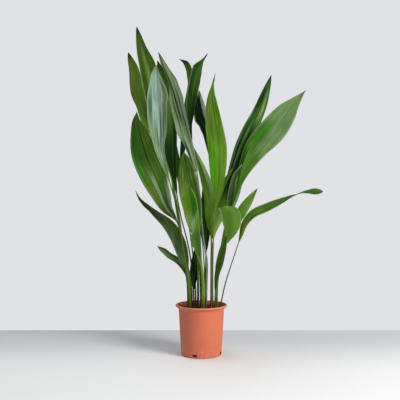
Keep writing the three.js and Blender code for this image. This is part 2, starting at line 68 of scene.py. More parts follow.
# Pot, in millimetres, with its arcs in degrees. LIP_HOLLOW is how far the lip's inside lies in from the
# mouth, and how far down. NECK_STEP is how far the bend over the neck lies out from it, and how far up.
LIP_HEIGHT = 20
MOUTH_RADIUS = 88
MOUTH_BEND = 2
MOUTH_DROP = 2.2
MOUTH_ARC = (110, 190)
LIP_HOLLOW = (3, 9)
NECK_RADIUS = 83
NECK_STEP = (0.8, 2)
FLARE_OUT = 5.2
FLARE_CURVE = 2.2
FLARE_HEIGHT = 9.6
FOOT_RADIUS = 74
FOOT_FLAT = 12
WALL = 2
FLOOR = 3
FLOOR_BEND = 4
BEAD = 3.5
BEAD_ARC = (-62, 100)
DRAINS = 4
DRAIN_ANGLE = -109
DRAIN_SIZE = (12, 18, 9)
DRAIN_LOW = 5
DRAIN_BEVEL = 1.2
POT_CREASE = 32

# Looks of the pot: how far its lip spreads for its height, which bounds the painted shade inside its
# wall, the height on its bead of a painted highlight with scuffs in it, in millimetres, and the height
# that splashes reach, in metres
LIP_SPREAD = 0.194
HIGHLIGHT_AND_SCUFF_HEIGHT = 7
SPLASH_TOP = 0.05

# Soil, in millimetres
SOIL_EDGE = 156
SOIL_MOUND = 15
MOUND_RADIUS = 78
SOIL_BUMP = 2.2
LONG_WAVE = 19
SHORT_WAVE = 8
SOIL_STEPS = 110
SOIL_GAP = 0.4
SOIL_FOOT_GAP = 0.8
SOIL_CREASE = 50
LUMP_SIZE = 9
GRAIN_SIZE = 2.6

# Bits on the soil: sizes and reach in millimetres, and how flat they are
BITS_DRAW = 11
BITS_REACH = 68
BARK_SIZES = (1.6, 4.2)
BARK_FLATNESS = 0.45
PALE_COUNT = 16
PALE_SIZES = (1.0, 2.0)
PALE_FLATNESS = 0.8
BIT_LENGTH = 1.5
BIT_TILT = 0.5
BIT_ROUGHNESS = (0.72, 1.15)
BIT_STANDS = 0.3

# Leaves: sizes in millimetres, and otherwise shares of the stem's radius or of the blade
ROOT_HEIGHT = 132
STEM_NECK = 0.62
STEM_GROOVE = 0.22
STEM_GROOVE_REACH = 0.4
TIP_RADIUS = 0.7
RIB_FADES = 3
GROOVE_WIDTH = 1.4
GROOVE_FADES = 0.7
RIDGE_HEIGHT = 0.7
RIDGE_EDGE = 0.3
EDGE_THINS = 0.45
EDGE_WAVES = 14
WANDER_ACROSS = 1.3
WANDER_LENGTH = 55
PLEAT_PITCH = 3.6
BLADE_FLATTENS_BY = 0.16
LEAF_CREASE = 40

# Pattern of a leaf's skin, in millimetres, and the heights between which its stem is dry, in metres
STREAK_WIDTH = 4
STREAK_LENGTH = 90
VEIN_LENGTH = 60
CLOUD_LENGTH = 80
RIB_EDGE = (0.5, 1.6)
DRY_HEIGHTS = (0.178, 0.235)

# Stage, in metres
FLOOR_WIDTH = 12
FLOOR_FRONT = 5
FLOOR_DROP = 0.001
# Where the floor's painted shade starts and where it is full, from front to back
FLOOR_PAINTED_SHADE = (-0.25, 0.3)
SENSOR_WIDTH = 36
LIGHTS_AIM = (0, 0, 0.6)
KEY_LIGHT = dict(place=(2.6, -2.3, 2.2), size=1.4, power=150, colour=(1, 0.985, 0.96))
SKY_LIGHT = dict(place=(-1.0, 0.6, 3.4), size=2.0, power=34, colour=(0.93, 0.97, 1))
ROOM_GLOW = 0.4

# Every leaf, with its shape. root: where the stem leaves the soil's depth. path: the midline on from
# there, ending at the tip. stem: radius of the stem's foot. blade: length of the blade back from the
# tip. widest and taper shape its outline. turn: how far the blade's face turns from the front at its
# base. twist: how much further it has turned at its tip. fold: how far each half is raised. curl: how
# much more each half bends up. wave: height of the edge's waves. trim: where the left and right halves
# are wider or narrower than that outline. A leaf without a twist, curl or trim has none.
LEAVES = {
    "leaf_left_tallest": dict(
        slot="leaf_mid_green", root=(-36, 26), stem=3.6,
        path=[(-43, 28, 248), (-58, 30, 334), (-77, 34, 434), (-95, 40, 538), (-114, 48, 658),
              (-140, 58, 790), (-173, 70, 952), (-197, 80, 1062), (-213, 84, 1116), (-247, 92, 1226)],
        trim=[(0.72, 1, 1), (0.86, 1, 0.72), (0.95, 1, 0.8)],
        blade=570, width=84, widest=0.55, taper=1.8, turn=25, twist=10, fold=18, wave=2),
    "leaf_left_outer": dict(
        slot="leaf_olive", root=(-44, -28), stem=3.4,
        path=[(-48, -36, 257), (-62, -50, 366), (-86, -61, 546), (-122, -65, 689), (-172, -68, 799),
              (-201, -73, 855), (-214, -78, 912), (-226, -84, 969), (-236, -90, 1027), (-257, -96, 1082)],
        trim=[(0.1, 0.8, 1), (0.26, 0.88, 1), (0.42, 0.76, 1), (0.62, 1, 1)],
        blade=350, width=62, widest=0.6, taper=1.8, turn=36, twist=5, fold=14, wave=2),
    "leaf_left_front": dict(
        slot="leaf_grey_green", root=(-38, -46), stem=3.6,
        path=[(-44, -53, 259), (-61, -64, 368), (-87, -82, 536), (-121, -100, 662), (-140, -116, 741),
              (-143, -128, 813), (-146, -140, 884), (-152, -150, 954), (-154, -158, 1024)],
        trim=[(0.2, 0.85, 0.6), (0.31, 0.9, 0.5), (0.48, 1.08, 0.75), (0.66, 1.1, 0.85),
              (0.74, 1.12, 1.15), (0.8, 1.08, 1.15), (0.87, 1, 0.95), (0.96, 1.2, 0.7)],
        blade=410, width=76, widest=0.6, taper=2, turn=15, fold=16, wave=3),
    "leaf_left_shaded": dict(
        slot="leaf_dark_green", root=(-24, 16), stem=3.2,
        path=[(-31, 18, 250), (-38, 18, 335), (-53, 16, 416), (-75, 13, 501), (-93, 10, 601),
              (-105, 5, 711), (-106, 0, 839), (-120, -6, 948), (-144, -10, 1028), (-160, -14, 1073)],
        trim=[(0.7, 1, 1), (0.82, 1.15, 1.35), (0.92, 1.6, 1.7), (0.96, 2, 2)],
        blade=500, width=62, widest=0.5, taper=1.8, turn=43, fold=12, wave=2),
    "leaf_left_broad": dict(
        slot="leaf_bright_green", root=(-33, 2), stem=3.6,
        path=[(-38, 2, 252), (-56, -1, 351), (-89, -8, 484), (-126, -14, 537), (-150, -20, 597),
              (-179, -22, 663), (-208, -18, 733), (-228, -10, 808), (-238, -4, 850), (-237, 0, 888)],
        trim=[(0.3, 1, 1), (0.45, 1, 1.22), (0.75, 1, 1.26), (0.87, 1, 1.35), (0.94, 1, 1.15)],
        blade=440, width=100, widest=0.52, taper=2.1, turn=0, fold=12, curl=(0, 15), wave=3),
    "leaf_left_striped": dict(
        slot="leaf_grey_green", root=(15, -10), stem=4.2,
        path=[(19, -10, 254), (20, -12, 338), (8, -18, 418), (-2, -24, 520), (-13, -50, 648),
              (-31, -64, 729), (-48, -68, 786), (-76, -72, 875), (-100, -82, 961), (-134, -94, 1044),
              (-151, -100, 1083)],
        trim=[(0.1, 0.85, 0.5), (0.22, 0.85, 0.6), (0.27, 0.9, 0.62), (0.31, 1.08, 0.66),
              (0.36, 1.14, 0.78), (0.43, 1.04, 0.95), (0.55, 1.1, 1.15), (0.62, 1.15, 1.45),
              (0.68, 0.85, 1.5), (0.76, 0.5, 1.85), (0.85, 0.7, 1.75), (0.94, 1.6, 2), (0.98, 2.4, 2.4)],
        blade=445, width=61, widest=0.4, taper=1.8, turn=33, twist=5, fold=14, wave=2),
    "leaf_middle_hooked_left": dict(
        slot="leaf_dark_green", root=(0, 38), stem=4,
        path=[(-3, 39, 246), (-12, 43, 395), (-43, 64, 545), (-72, 90, 686), (-65, 112, 795),
              (-49, 138, 934), (-39, 156, 1035), (-56, 168, 1099), (-87, 178, 1122)],
        trim=[(0.75, 1, 1), (0.85, 1.4, 1.4), (0.93, 1.8, 1.8), (0.97, 1.2, 1.2)],
        blade=490, width=42, widest=0.5, taper=1.7, turn=40, fold=14, wave=1),
    "leaf_middle_hooked_right": dict(
        slot="leaf_shaded_green", root=(2, 20), stem=4,
        path=[(1, 22, 249), (-4, 26, 397), (-15, 36, 601), (-35, 46, 751), (-40, 54, 846),
              (-35, 62, 941), (-21, 70, 1018), (0, 78, 1082), (25, 84, 1122)],
        trim=[(0.25, 0.5, 0.5), (0.35, 0.84, 0.84), (0.46, 0.92, 1), (0.66, 1.05, 1.12),
              (0.76, 1.2, 1.05), (0.82, 1.4, 0.85), (0.842, 1.5, 0.77), (0.867, 1.25, 0.7),
              (0.885, 0.95, 0.55), (0.915, 0.6, 0.5), (0.94, 0.4, 0.45)],
        blade=390, width=49, widest=0.62, taper=1.6, turn=33, fold=12, wave=1),
    "leaf_middle_dark": dict(
        slot="leaf_dark_green", root=(36, 32), stem=3.2,
        path=[(36, 34, 248), (38, 40, 415), (48, 58, 564), (48, 80, 716), (26, 98, 832), (3, 114, 919),
              (-9, 124, 990)],
        trim=[(0.5, 1, 1), (0.6, 1.2, 1), (0.7, 1.75, 1), (0.8, 1.9, 1), (0.9, 1.5, 1)],
        blade=360, width=52, widest=0.55, taper=1.9, turn=35, fold=12, wave=1),
    "leaf_middle_bright": dict(
        slot="leaf_bright_green", root=(42, -8), stem=3.4,
        path=[(41, -10, 253), (43, -12, 400), (51, -14, 546), (60, -22, 651), (59, -32, 745),
              (46, -44, 835), (37, -54, 926), (40, -60, 971), (50, -66, 1016)],
        trim=[(0.8, 1, 1), (0.857, 0.85, 0.85), (0.898, 0.62, 0.66), (0.927, 0.5, 0.55),
              (0.95, 0.75, 0.8)],
        blade=490, width=71, widest=0.46, taper=2.3, turn=8, fold=12, wave=2),
    "leaf_right_tall": dict(
        slot="leaf_shaded_green", root=(50, 26), stem=3.4,
        path=[(54, 27, 248), (64, 30, 334), (79, 34, 415), (96, 40, 527), (111, 48, 631),
              (141, 58, 733), (178, 68, 817), (219, 80, 896), (249, 90, 976), (268, 96, 1042)],
        trim=[(0.15, 1, 1), (0.35, 0.86, 1), (0.6, 0.84, 1), (0.72, 0.88, 0.84), (0.92, 1, 0.8)],
        blade=540, width=68, widest=0.55, taper=1.9, turn=25, fold=14, wave=2),
    "leaf_right_broad": dict(
        slot="leaf_light_green", root=(54, -4), stem=6,
        path=[(55, -6, 253), (63, -10, 338), (77, -13, 400), (97, -18, 484), (127, -26, 577),
              (153, -36, 667), (196, -48, 749), (255, -62, 815), (309, -76, 884), (368, -90, 951)],
        trim=[(0.8, 1, 1), (0.9, 0.88, 0.84), (0.97, 0.8, 0.72)],
        blade=480, width=97, widest=0.6, taper=3, turn=0, fold=9, wave=3),
    "leaf_right_slim": dict(
        slot="leaf_grey_green", root=(56, -22), stem=3,
        path=[(57, -26, 256), (67, -32, 340), (81, -42, 420), (99, -54, 510), (111, -62, 600),
              (123, -68, 656), (144, -74, 690)],
        blade=230, width=30, widest=0.5, taper=2, turn=50, fold=18, wave=0),
    "leaf_right_short": dict(
        slot="leaf_mid_green", root=(58, 12), stem=3,
        path=[(60, 12, 251), (71, 12, 335), (92, 8, 417), (126, 0, 483), (163, -14, 544),
              (203, -34, 606)],
        blade=210, width=40, widest=0.5, taper=2, turn=25, fold=10, wave=1),
    "leaf_front_arched": dict(
        slot="leaf_bright_green", root=(36, -40), stem=3.4,
        path=[(37, -44, 258), (38, -56, 385), (50, -78, 461), (66, -108, 522), (85, -138, 543),
              (102, -160, 523), (105, -170, 489), (100, -175, 456), (88, -178, 417)],
        trim=[(0.74, 0.95, 0.95), (0.8, 0.87, 0.87), (0.85, 0.77, 0.77), (0.907, 0.62, 0.65),
              (0.96, 0.4, 0.45), (0.995, 0.4, 0.45)],
        blade=310, width=88, widest=0.68, taper=2.4, turn=-35, fold=8, wave=2),
    "leaf_right_long": dict(
        slot="leaf_mid_green", root=(61, -14), stem=2.8,
        path=[(86, -14, 254), (119, -20, 360), (142, -25, 430), (157, -29, 476), (188, -37, 513),
              (237, -50, 538), (297, -66, 563), (357, -84, 589), (426, -102, 594)],
        trim=[(0.7, 1, 1), (0.78, 0.6, 0.6), (0.85, 1, 1), (0.93, 1.5, 1.5)],
        blade=380, width=44, widest=0.52, taper=1.3, turn=42, twist=138, fold=8, wave=2),
    "leaf_front_olive": dict(
        slot="leaf_olive", root=(-12, -18), stem=5,
        path=[(-12, -20, 255), (-14, -30, 365), (-24, -48, 471), (-33, -58, 538), (-46, -58, 605),
              (-57, -30, 671), (-65, 2, 740)],
        trim=[(0.2, 1, 1), (0.4, 0.86, 1), (0.7, 0.84, 1.05), (0.85, 0.9, 1.25), (0.93, 1, 1.35)],
        blade=350, width=84, widest=0.52, taper=1.95, turn=10, fold=12, wave=2),
    "leaf_front_young": dict(
        slot="leaf_bright_green", root=(4, -40), stem=7.5,
        path=[(6, -48, 259), (0, -62, 332), (-10, -74, 379), (-17, -90, 451), (-23, -108, 529),
              (-30, -118, 574), (-43, -126, 619)],
        trim=[(0.2, 0.8, 1), (0.27, 1.1, 1), (0.33, 1.25, 1), (0.38, 1, 1), (0.44, 0.62, 1),
              (0.57, 1.12, 1.05), (0.69, 1.75, 1.1), (0.84, 2.3, 1.2), (0.93, 2, 1.2)],
        blade=300, width=48, widest=0.55, taper=1.5, turn=20, fold=18, curl=(0, 40), wave=1),
    "leaf_middle_slender": dict(
        slot="leaf_mid_green", root=(37, -22), stem=3,
        path=[(36, -26, 256), (35, -32, 419), (31, -38, 511), (31, -40, 575), (18, -38, 636),
              (-3, -32, 694), (-27, -20, 753)],
        blade=330, width=48, widest=0.45, taper=1.6, turn=36, fold=12, wave=1),
    "leaf_right_inner": dict(
        slot="leaf_shaded_green", root=(41, 12), stem=3.2,
        path=[(42, 14, 250), (43, 18, 398), (51, 22, 501), (73, 26, 575), (99, 28, 638), (129, 26, 701)],
        trim=[(0.28, 1, 1), (0.4, 1, 1.7), (0.5, 1, 1.9), (0.62, 1, 1.3), (0.75, 1, 1)],
        blade=300, width=50, widest=0.45, taper=1.9, turn=30, fold=12, wave=1),
    "leaf_left_low": dict(
        slot="leaf_mid_green", root=(-46, -12), stem=6.5,
        path=[(-49, -12, 254), (-62, -15, 350), (-83, -26, 424), (-118, -42, 480), (-163, -60, 523),
              (-190, -68, 545), (-214, -76, 567), (-233, -84, 598)],
        trim=[(0.3, 0.94, 0.94), (0.75, 0.96, 0.96), (0.85, 1.4, 1.4), (0.92, 1.9, 1.9), (0.98, 3, 3)],
        blade=360, width=60, widest=0.38, taper=1.8, turn=15, twist=58, fold=20, wave=2),
    "leaf_left_lowest": dict(
        slot="leaf_shaded_green", root=(-50, 10), stem=3,
        path=[(-51, 8, 240), (-64, 8, 311), (-89, 4, 345), (-120, -8, 366), (-138, -18, 383),
              (-159, -30, 397)],
        trim=[(0.7, 1, 1), (0.9, 1.45, 1.45)],
        blade=165, width=34, widest=0.5, taper=1.8, turn=35, fold=10, wave=1),
    "leaf_front_folded": dict(
        slot="leaf_shaded_green", root=(50, -34), stem=4,
        path=[(53, -34, 261), (60, -38, 312), (70, -44, 359), (82, -54, 410), (95, -62, 452)],
        trim=[(0.15, 0.5, 0.55), (0.32, 0.5, 0.65), (0.48, 0.55, 0.9), (0.7, 0.6, 0.95)],
        blade=230, width=46, widest=0.5, taper=1.8, turn=30, fold=20, wave=1),
    "leaf_back_young": dict(
        slot="leaf_dark_green", root=(-26, 40), stem=3,
        path=[(-28, 45, 221), (-26, 56, 280), (-18, 72, 339), (-12, 92, 413)],
        blade=190, width=40, widest=0.45, taper=1.8, turn=20, fold=20, wave=1),
    "leaf_back_inner": dict(
        slot="leaf_dark_green", root=(18, 8), stem=4.2,
        path=[(17, 10, 251), (17, 14, 379), (19, 18, 475), (17, 18, 549), (6, 14, 630)],
        blade=260, width=48, widest=0.45, taper=1.8, turn=35, fold=12, wave=1),
    "leaf_back_left": dict(
        slot="leaf_shaded_green", root=(-20, 54), stem=3.4,
        path=[(-26, 76, 300), (-50, 120, 480), (-74, 165, 640), (-104, 195, 780), (-122, 215, 890)],
        blade=400, width=66, widest=0.55, taper=2, turn=60, fold=14, wave=2),
    "leaf_back_middle": dict(
        slot="leaf_mid_green", root=(14, 54), stem=3.2,
        path=[(12, 76, 300), (0, 120, 440), (-22, 165, 570), (-48, 200, 660), (-66, 222, 720)],
        blade=340, width=66, widest=0.5, taper=2, turn=-60, fold=14, wave=2),
    "leaf_back_right": dict(
        slot="leaf_mid_green", root=(52, 44), stem=3.2,
        path=[(62, 66, 300), (86, 110, 440), (120, 160, 580), (155, 200, 690), (190, 225, 795)],
        blade=380, width=70, widest=0.5, taper=2, turn=-55, fold=14, wave=2),
}

# The greens that the leaves are painted in, from dark to pale, as screen colours
INK = 0x052204
NIGHT = 0x0c2c06
BOTTLE = 0x173c08
SPRUCE = 0x203f28
SHADE = 0x2e3e14
FOREST = 0x20480c
FERN = 0x2c5812
IVY = 0x265e08
WILLOW = 0x40541a
PINE = 0x3c6a18
MEADOW = 0x34740c
MOSS = 0x4a6a1a
DUSK = 0x5c5e40
JADE = 0x40703c
EMERALD = 0x328a0a
GRASS = 0x4c7c22
OLIVE = 0x5a7822
THYME = 0x587a44
VIVID = 0x50920a
BRIGHT = 0x5c8c18
SAGE = 0x6c9058
STRAW = 0x7a9038
LIME = 0x74a42c
MIST = 0x7c9c78
SOFT = 0x88ac54
SPRING = 0x70c828
LICHEN = 0x92ae86
DEW = 0x94b8a4
YOUNG = 0x78d808
SPRIG = 0x94c066
APPLE = 0x98c834
SILVER = 0xa6bea2
PEAR = 0xa6cc84
FROST = 0xb6ccb6
CREAM = 0xdcfcb0
WHITE = 0xf4fcec

# Screen colours of what several leaves share
# The first colour below is painted on the leaves' edges as a highlight.
HIGHLIGHT_GREEN = 0xc6d6a4
RIB = 0x86a468
BARK = 0x4e3a18
UNDERSIDE = 0x567a34

# Every leaf's colours. left and right: its halves as seen on the upper face, near the stem and near the
# tip; their greens carry painted light and shade, a half turned to the light painted lighter, and one
# turned away, or behind other leaves, painted darker. streak: the colour of the lengthwise stripes, and
# streaks how much of the blade they take; pale stripes are painted sheen that stands for the gloss's
# reflection, green ones the leaf's own tone. rim: how strongly the left and right edges are painted
# pale, as a highlight where they catch the light. tip: colour of the last stretch. stem: colour of the
# stem. shine: how glossy it is. patches: areas of another colour, each with its middle across the
# blade, how that moves along it, its reach across, and where it starts and ends along the blade; pale
# ones are painted highlights, dark ones painted shade in folds and where leaves shade each other, and
# green ones partly the leaf's own tone and partly painted light. back: the lower face's colour, where
# it differs. A leaf that lists no rim has no painted highlight on its edges.
LOOKS = {
    "leaf_left_tallest": dict(
        left=(BOTTLE, OLIVE), right=(FOREST, BRIGHT), streak_and_sheen=LICHEN, streaks_and_sheen=0.55, edge_highlight=(0.2, 0),
        tip=SHADE, stem=GRASS, shine=0.5,
        tone_and_light_patches=[(SOFT, -0.2, 0, 0.25, 0.3, 0.85), (PINE, -0.75, 0, 0.3, 0.5, 0.95)]),
    "leaf_left_outer": dict(
        left=(LIME, STRAW), right=(OLIVE, LIME), streak_and_sheen=STRAW, streaks_and_sheen=0.35,
        tip=SHADE, stem=OLIVE, shine=0.35),
    "leaf_left_front": dict(
        left=(SAGE, DEW), right=(MIST, FROST), streak_and_sheen=FROST, streaks_and_sheen=0.8, edge_highlight=(0.3, 0.2),
        tip=SAGE, stem=OLIVE, shine=0.6,
        tone_and_light_patches=[(JADE, -0.75, 0, 0.24, 0.54, 0.78), (DEW, -0.1, 0, 0.3, 0.4, 0.9),
                 # The two narrow dark areas below are painted shade in the blade's folds.
                 (SPRUCE, 0.12, 0.25, 0.08, 0.28, 0.6), (SPRUCE, 0.5, -0.1, 0.06, 0.3, 0.7),
                 (SAGE, 0.75, 0, 0.25, 0.5, 0.9), (FROST, 0.32, 0, 0.1, 0.2, 0.7),
                 (THYME, -0.3, 0.2, 0.06, 0.15, 0.5)]),
    "leaf_left_shaded": dict(
        left=(IVY, SPRIG), right=(MEADOW, BRIGHT), streak_and_sheen=THYME, streaks_and_sheen=0.3,
        tip=WILLOW, stem=BOTTLE, shine=0.4,
        tone_and_light_patches=[(BOTTLE, 0.5, 0, 0.4, 0.1, 0.5), (PINE, 0, 0, 1.5, 0.86, 0.98)]),
    "leaf_left_broad": dict(
        left=(OLIVE, FOREST), right=(GRASS, MOSS), streak_and_sheen=MIST, streaks_and_sheen=0.35,
        edge_highlight=(0.15, 0.9), tip=WILLOW, stem=STRAW, shine=0.5,
        tone_and_light_patches=[(IVY, -0.5, 0, 0.45, 0.6, 0.85), (EMERALD, -0.8, 0, 0.35, 0.42, 0.6),
                 # Below, the pale areas by the midrib near the stem and at the right edge are painted
                 # highlights.
                 (FOREST, 0.05, 0, 0.12, 0.5, 0.9), (LICHEN, -0.12, 0, 0.2, 0.02, 0.42),
                 (SILVER, 0.85, 0, 0.4, -0.1, 0.3)]),
    "leaf_left_striped": dict(
        left=(PEAR, SPRIG), right=(SOFT, CREAM), streak_and_sheen=FROST, streaks_and_sheen=0.9,
        edge_highlight=(0.4, 0.3), tip=THYME, stem=LICHEN, shine=0.6,
        tone_and_light_patches=[(FOREST, -0.8, 0, 0.4, 0.0, 0.3), (FOREST, -0.15, -0.3, 0.14, 0.42, 0.84),
                 (FERN, 0.38, -0.2, 0.12, 0.25, 0.72), (SILVER, 0.1, 0, 0.12, 0.12, 0.62),
                 (SILVER, 0.85, 0, 0.2, 0.3, 0.92), (JADE, -0.45, 0, 0.1, 0.35, 0.6),
                 (JADE, -0.6, 0, 0.4, 0.7, 0.9)]),
    "leaf_middle_hooked_left": dict(
        left=(FOREST, OLIVE), right=(FOREST, BRIGHT), streak_and_sheen=SAGE, streaks_and_sheen=0.3, edge_highlight=(0.2, 0),
        tip=NIGHT, stem=VIVID, shine=0.4),
    "leaf_middle_hooked_right": dict(
        left=(FOREST, FERN), right=(FOREST, MEADOW), streak_and_sheen=SAGE, streaks_and_sheen=0.2, edge_highlight=(0.35, 0),
        tip=SHADE, stem=IVY, shine=0.5,
        tone_and_light_patches=[(GRASS, 0.35, 0, 0.75, 0.6, 0.88), (FOREST, -0.8, 0, 0.2, 0.5, 0.8)]),
    "leaf_middle_dark": dict(
        left=(INK, NIGHT), right=(NIGHT, WHITE), streak_and_sheen=LICHEN, streaks_and_sheen=0.3, edge_highlight=(0.2, 0.9),
        tip=SAGE, stem=OLIVE, shine=0.4),
    "leaf_middle_bright": dict(
        left=(VIVID, OLIVE), right=(LIME, BRIGHT), streak_and_sheen=VIVID, streaks_and_sheen=0.5, edge_highlight=(0, 0.15),
        tip=WILLOW, stem=STRAW, shine=0.4),
    "leaf_right_tall": dict(
        left=(MEADOW, IVY), right=(MEADOW, GRASS), streak_and_sheen=LICHEN, streaks_and_sheen=0.5, edge_highlight=(0.15, 0),
        tip=SHADE, stem=GRASS, shine=0.5,
        tone_and_light_patches=[(BOTTLE, 0.25, 0, 0.35, 0.1, 0.6), (MIST, -0.78, 0, 0.18, 0.2, 0.5),
                 (BOTTLE, -0.5, 0, 0.12, 0.2, 0.55), (MIST, -0.25, 0, 0.1, 0.15, 0.6),
                 (BOTTLE, -0.6, 0, 0.55, 0.72, 0.95), (SPRIG, 0.35, 0, 0.4, 0.66, 0.86)]),
    "leaf_right_broad": dict(
        left=(BOTTLE, SAGE), right=(GRASS, SAGE), streak_and_sheen=SOFT, streaks_and_sheen=0.4, edge_highlight=(0, 0.2),
        tip=DUSK, stem=SAGE, shine=0.4,
        tone_and_light_patches=[(MEADOW, -0.5, 0, 0.5, 0.42, 0.66), (GRASS, -0.2, 0, 0.4, 0.1, 0.45),
                 (SAGE, 0.4, 0, 0.5, 0.45, 0.8), (THYME, 0.9, 0, 0.15, 0.2, 0.6)]),
    "leaf_right_slim": dict(
        left=(SAGE, SAGE), right=(PINE, GRASS), streak_and_sheen=LICHEN, streaks_and_sheen=0.3, edge_highlight=(1, 0),
        tip=SILVER, stem=OLIVE, shine=0.5),
    "leaf_right_short": dict(
        left=(GRASS, LIME), right=(SPRING, SOFT), streak_and_sheen=LICHEN, streaks_and_sheen=0.3, edge_highlight=(0, 0.4),
        tip=SHADE, stem=GRASS, shine=0.45),
    "leaf_front_arched": dict(
        left=(SOFT, BOTTLE), right=(SPRIG, FERN), streak_and_sheen=LIME, streaks_and_sheen=0.3, edge_highlight=(0.2, 0.2),
        tip=PINE, stem=DUSK, shine=0.45, back=MOSS,
        # The first area below is a painted highlight on the crest of the arch.
        tone_and_light_patches=[(PEAR, -0.15, 0, 0.3, 0.5, 0.56), (IVY, -0.5, 0, 0.7, 0.62, 0.95),
                 (GRASS, 0.6, 0, 0.6, 0.62, 0.95)]),
    "leaf_right_long": dict(
        left=(OLIVE, PINE), right=(APPLE, IVY), streak_and_sheen=LICHEN, streaks_and_sheen=0.3,
        edge_highlight=(0.4, 0.3), tip=WILLOW, stem=DUSK, shine=0.45,
        tone_and_light_patches=[(SILVER, -0.95, 0, 0.14, 0.1, 0.6), (PINE, 0.4, 0, 0.5, 0.2, 0.8)]),
    "leaf_front_olive": dict(
        left=(SOFT, MOSS), right=(GRASS, MOSS), streak_and_sheen=SOFT, streaks_and_sheen=0.45, edge_highlight=(0, 0.3),
        tip=MOSS, stem=WILLOW, shine=0.35),
    "leaf_front_young": dict(
        left=(PEAR, BRIGHT), right=(SPRING, YOUNG), streak_and_sheen=LIME, streaks_and_sheen=0.3, edge_highlight=(0, 0.9),
        tip=OLIVE, stem=STRAW, shine=0.45,
        tone_and_light_patches=[(BRIGHT, 0, 0, 1.5, 0.05, 0.45), (EMERALD, 0.15, 0, 0.5, 0.6, 0.9),
                 (PEAR, 0, 6.7, 0.5, 0.36, 0.78)]),
    "leaf_middle_slender": dict(
        left=(LIME, BRIGHT), right=(APPLE, CREAM), streak_and_sheen=SOFT, streaks_and_sheen=0.4, edge_highlight=(0.2, 0.1),
        tip=WILLOW, stem=MOSS, shine=0.4),
    "leaf_right_inner": dict(
        left=(LIME, SPRING), right=(LIME, NIGHT), streak_and_sheen=SOFT, streaks_and_sheen=0.4, edge_highlight=(0, 0.3),
        tip=FERN, stem=THYME, shine=0.4),
    "leaf_left_low": dict(
        left=(THYME, SHADE), right=(MOSS, MOSS), streak_and_sheen=MIST, streaks_and_sheen=0.4, edge_highlight=(0.2, 0.1),
        tip=DUSK, stem=WILLOW, shine=0.4),
    "leaf_left_lowest": dict(
        left=(MOSS, SAGE), right=(FERN, WILLOW), streak_and_sheen=MIST, streaks_and_sheen=0.3, edge_highlight=(0.2, 0.1),
        tip=WILLOW, stem=WILLOW, shine=0.4),
    "leaf_front_folded": dict(
        left=(WILLOW, PINE), right=(OLIVE, GRASS), streak_and_sheen=SAGE, streaks_and_sheen=0.4, edge_highlight=(0.2, 0.3),
        tip=MOSS, stem=THYME, shine=0.4),
    "leaf_back_young": dict(
        # Its near-black greens are painted shade: it stands in the shadow at the back.
        left=(INK, BOTTLE), right=(INK, NIGHT), streak_and_sheen=FERN, streaks_and_sheen=0.2,
        tip=INK, stem=SHADE, shine=0.3),
    "leaf_back_inner": dict(
        left=(FOREST, FOREST), right=(BOTTLE, BOTTLE), streak_and_sheen=JADE, streaks_and_sheen=0.3,
        tip=BOTTLE, stem=FERN, shine=0.35),
    "leaf_back_left": dict(
        left=(FERN, PINE), right=(FOREST, FERN), streak_and_sheen=SAGE, streaks_and_sheen=0.4,
        tip=FOREST, stem=PINE, shine=0.45),
    "leaf_back_middle": dict(
        left=(PINE, GRASS), right=(FERN, PINE), streak_and_sheen=SOFT, streaks_and_sheen=0.4,
        tip=FERN, stem=PINE, shine=0.45),
    "leaf_back_right": dict(
        left=(PINE, GRASS), right=(FERN, PINE), streak_and_sheen=SOFT, streaks_and_sheen=0.5, edge_highlight=(0, 0.1),
        tip=FERN, stem=PINE, shine=0.45),
}


# ---------------------------------------------------------------- settings in the sidebar


class PotSettings(bpy.types.PropertyGroup):
    """Sizes and colour of the pot"""

    height: FloatProperty(
        name="Height", description="From the floor to the top of the lip",
        default=POT_HIGH.z, unit="LENGTH")
    rim_radius: FloatProperty(
        name="Rim radius", description="Radius of the lip's outer edge",
        default=POT_HIGH.x, unit="LENGTH")
    sides: IntProperty(
        name="Sides", description="Steps round the pot", default=144)
    colour: FloatVectorProperty(
        name="Colour", description="The plastic's colour", subtype="COLOR", size=3,
        default=linear(0xcb6a48))
    # This colour is also painted along the bead as a highlight.
    dust_and_highlight: FloatVectorProperty(
        name="Dust", description="Colour of the dried splashes near the foot", subtype="COLOR", size=3,
        default=linear(0xd9a184))


class SoilSettings(bpy.types.PropertyGroup):
    """Roughness and colours of the soil"""

    crumb: FloatProperty(
        name="Crumb", description="Height of the soil's crumbs", default=1.6 * MM, unit="LENGTH")
    bits: IntProperty(
        name="Bits", description="How many chips of bark lie on it", default=240)
    colour: FloatVectorProperty(
        name="Colour", description="The damp soil's colour", subtype="COLOR", size=3,
        default=linear(0x2e1c0e))
    chip: FloatVectorProperty(
        name="Chip", description="The bark chips' lighter colour", subtype="COLOR", size=3,
        default=linear(0x6b4526))


class LeafSettings(bpy.types.PropertyGroup):
    """Fine shape of the leaves"""

    thickness: FloatProperty(
        name="Thickness", description="Thickness of a blade beside its midrib", default=1 * MM,
        unit="LENGTH")
    pleat: FloatProperty(
        name="Pleat", description="Depth of the pleats along the blade", default=0.45 * MM,
        unit="LENGTH")
    uneven: FloatProperty(
        name="Uneven", description="How far the blade's face wanders from its plain form",
        default=1.6 * MM, unit="LENGTH")
    groove: FloatProperty(
        name="Groove", description="Depth of the channel over the midrib", default=0.8 * MM,
        unit="LENGTH")
    vein: FloatProperty(
        name="Vein", description="Height of the fine veins", default=0.35 * MM, unit="LENGTH")


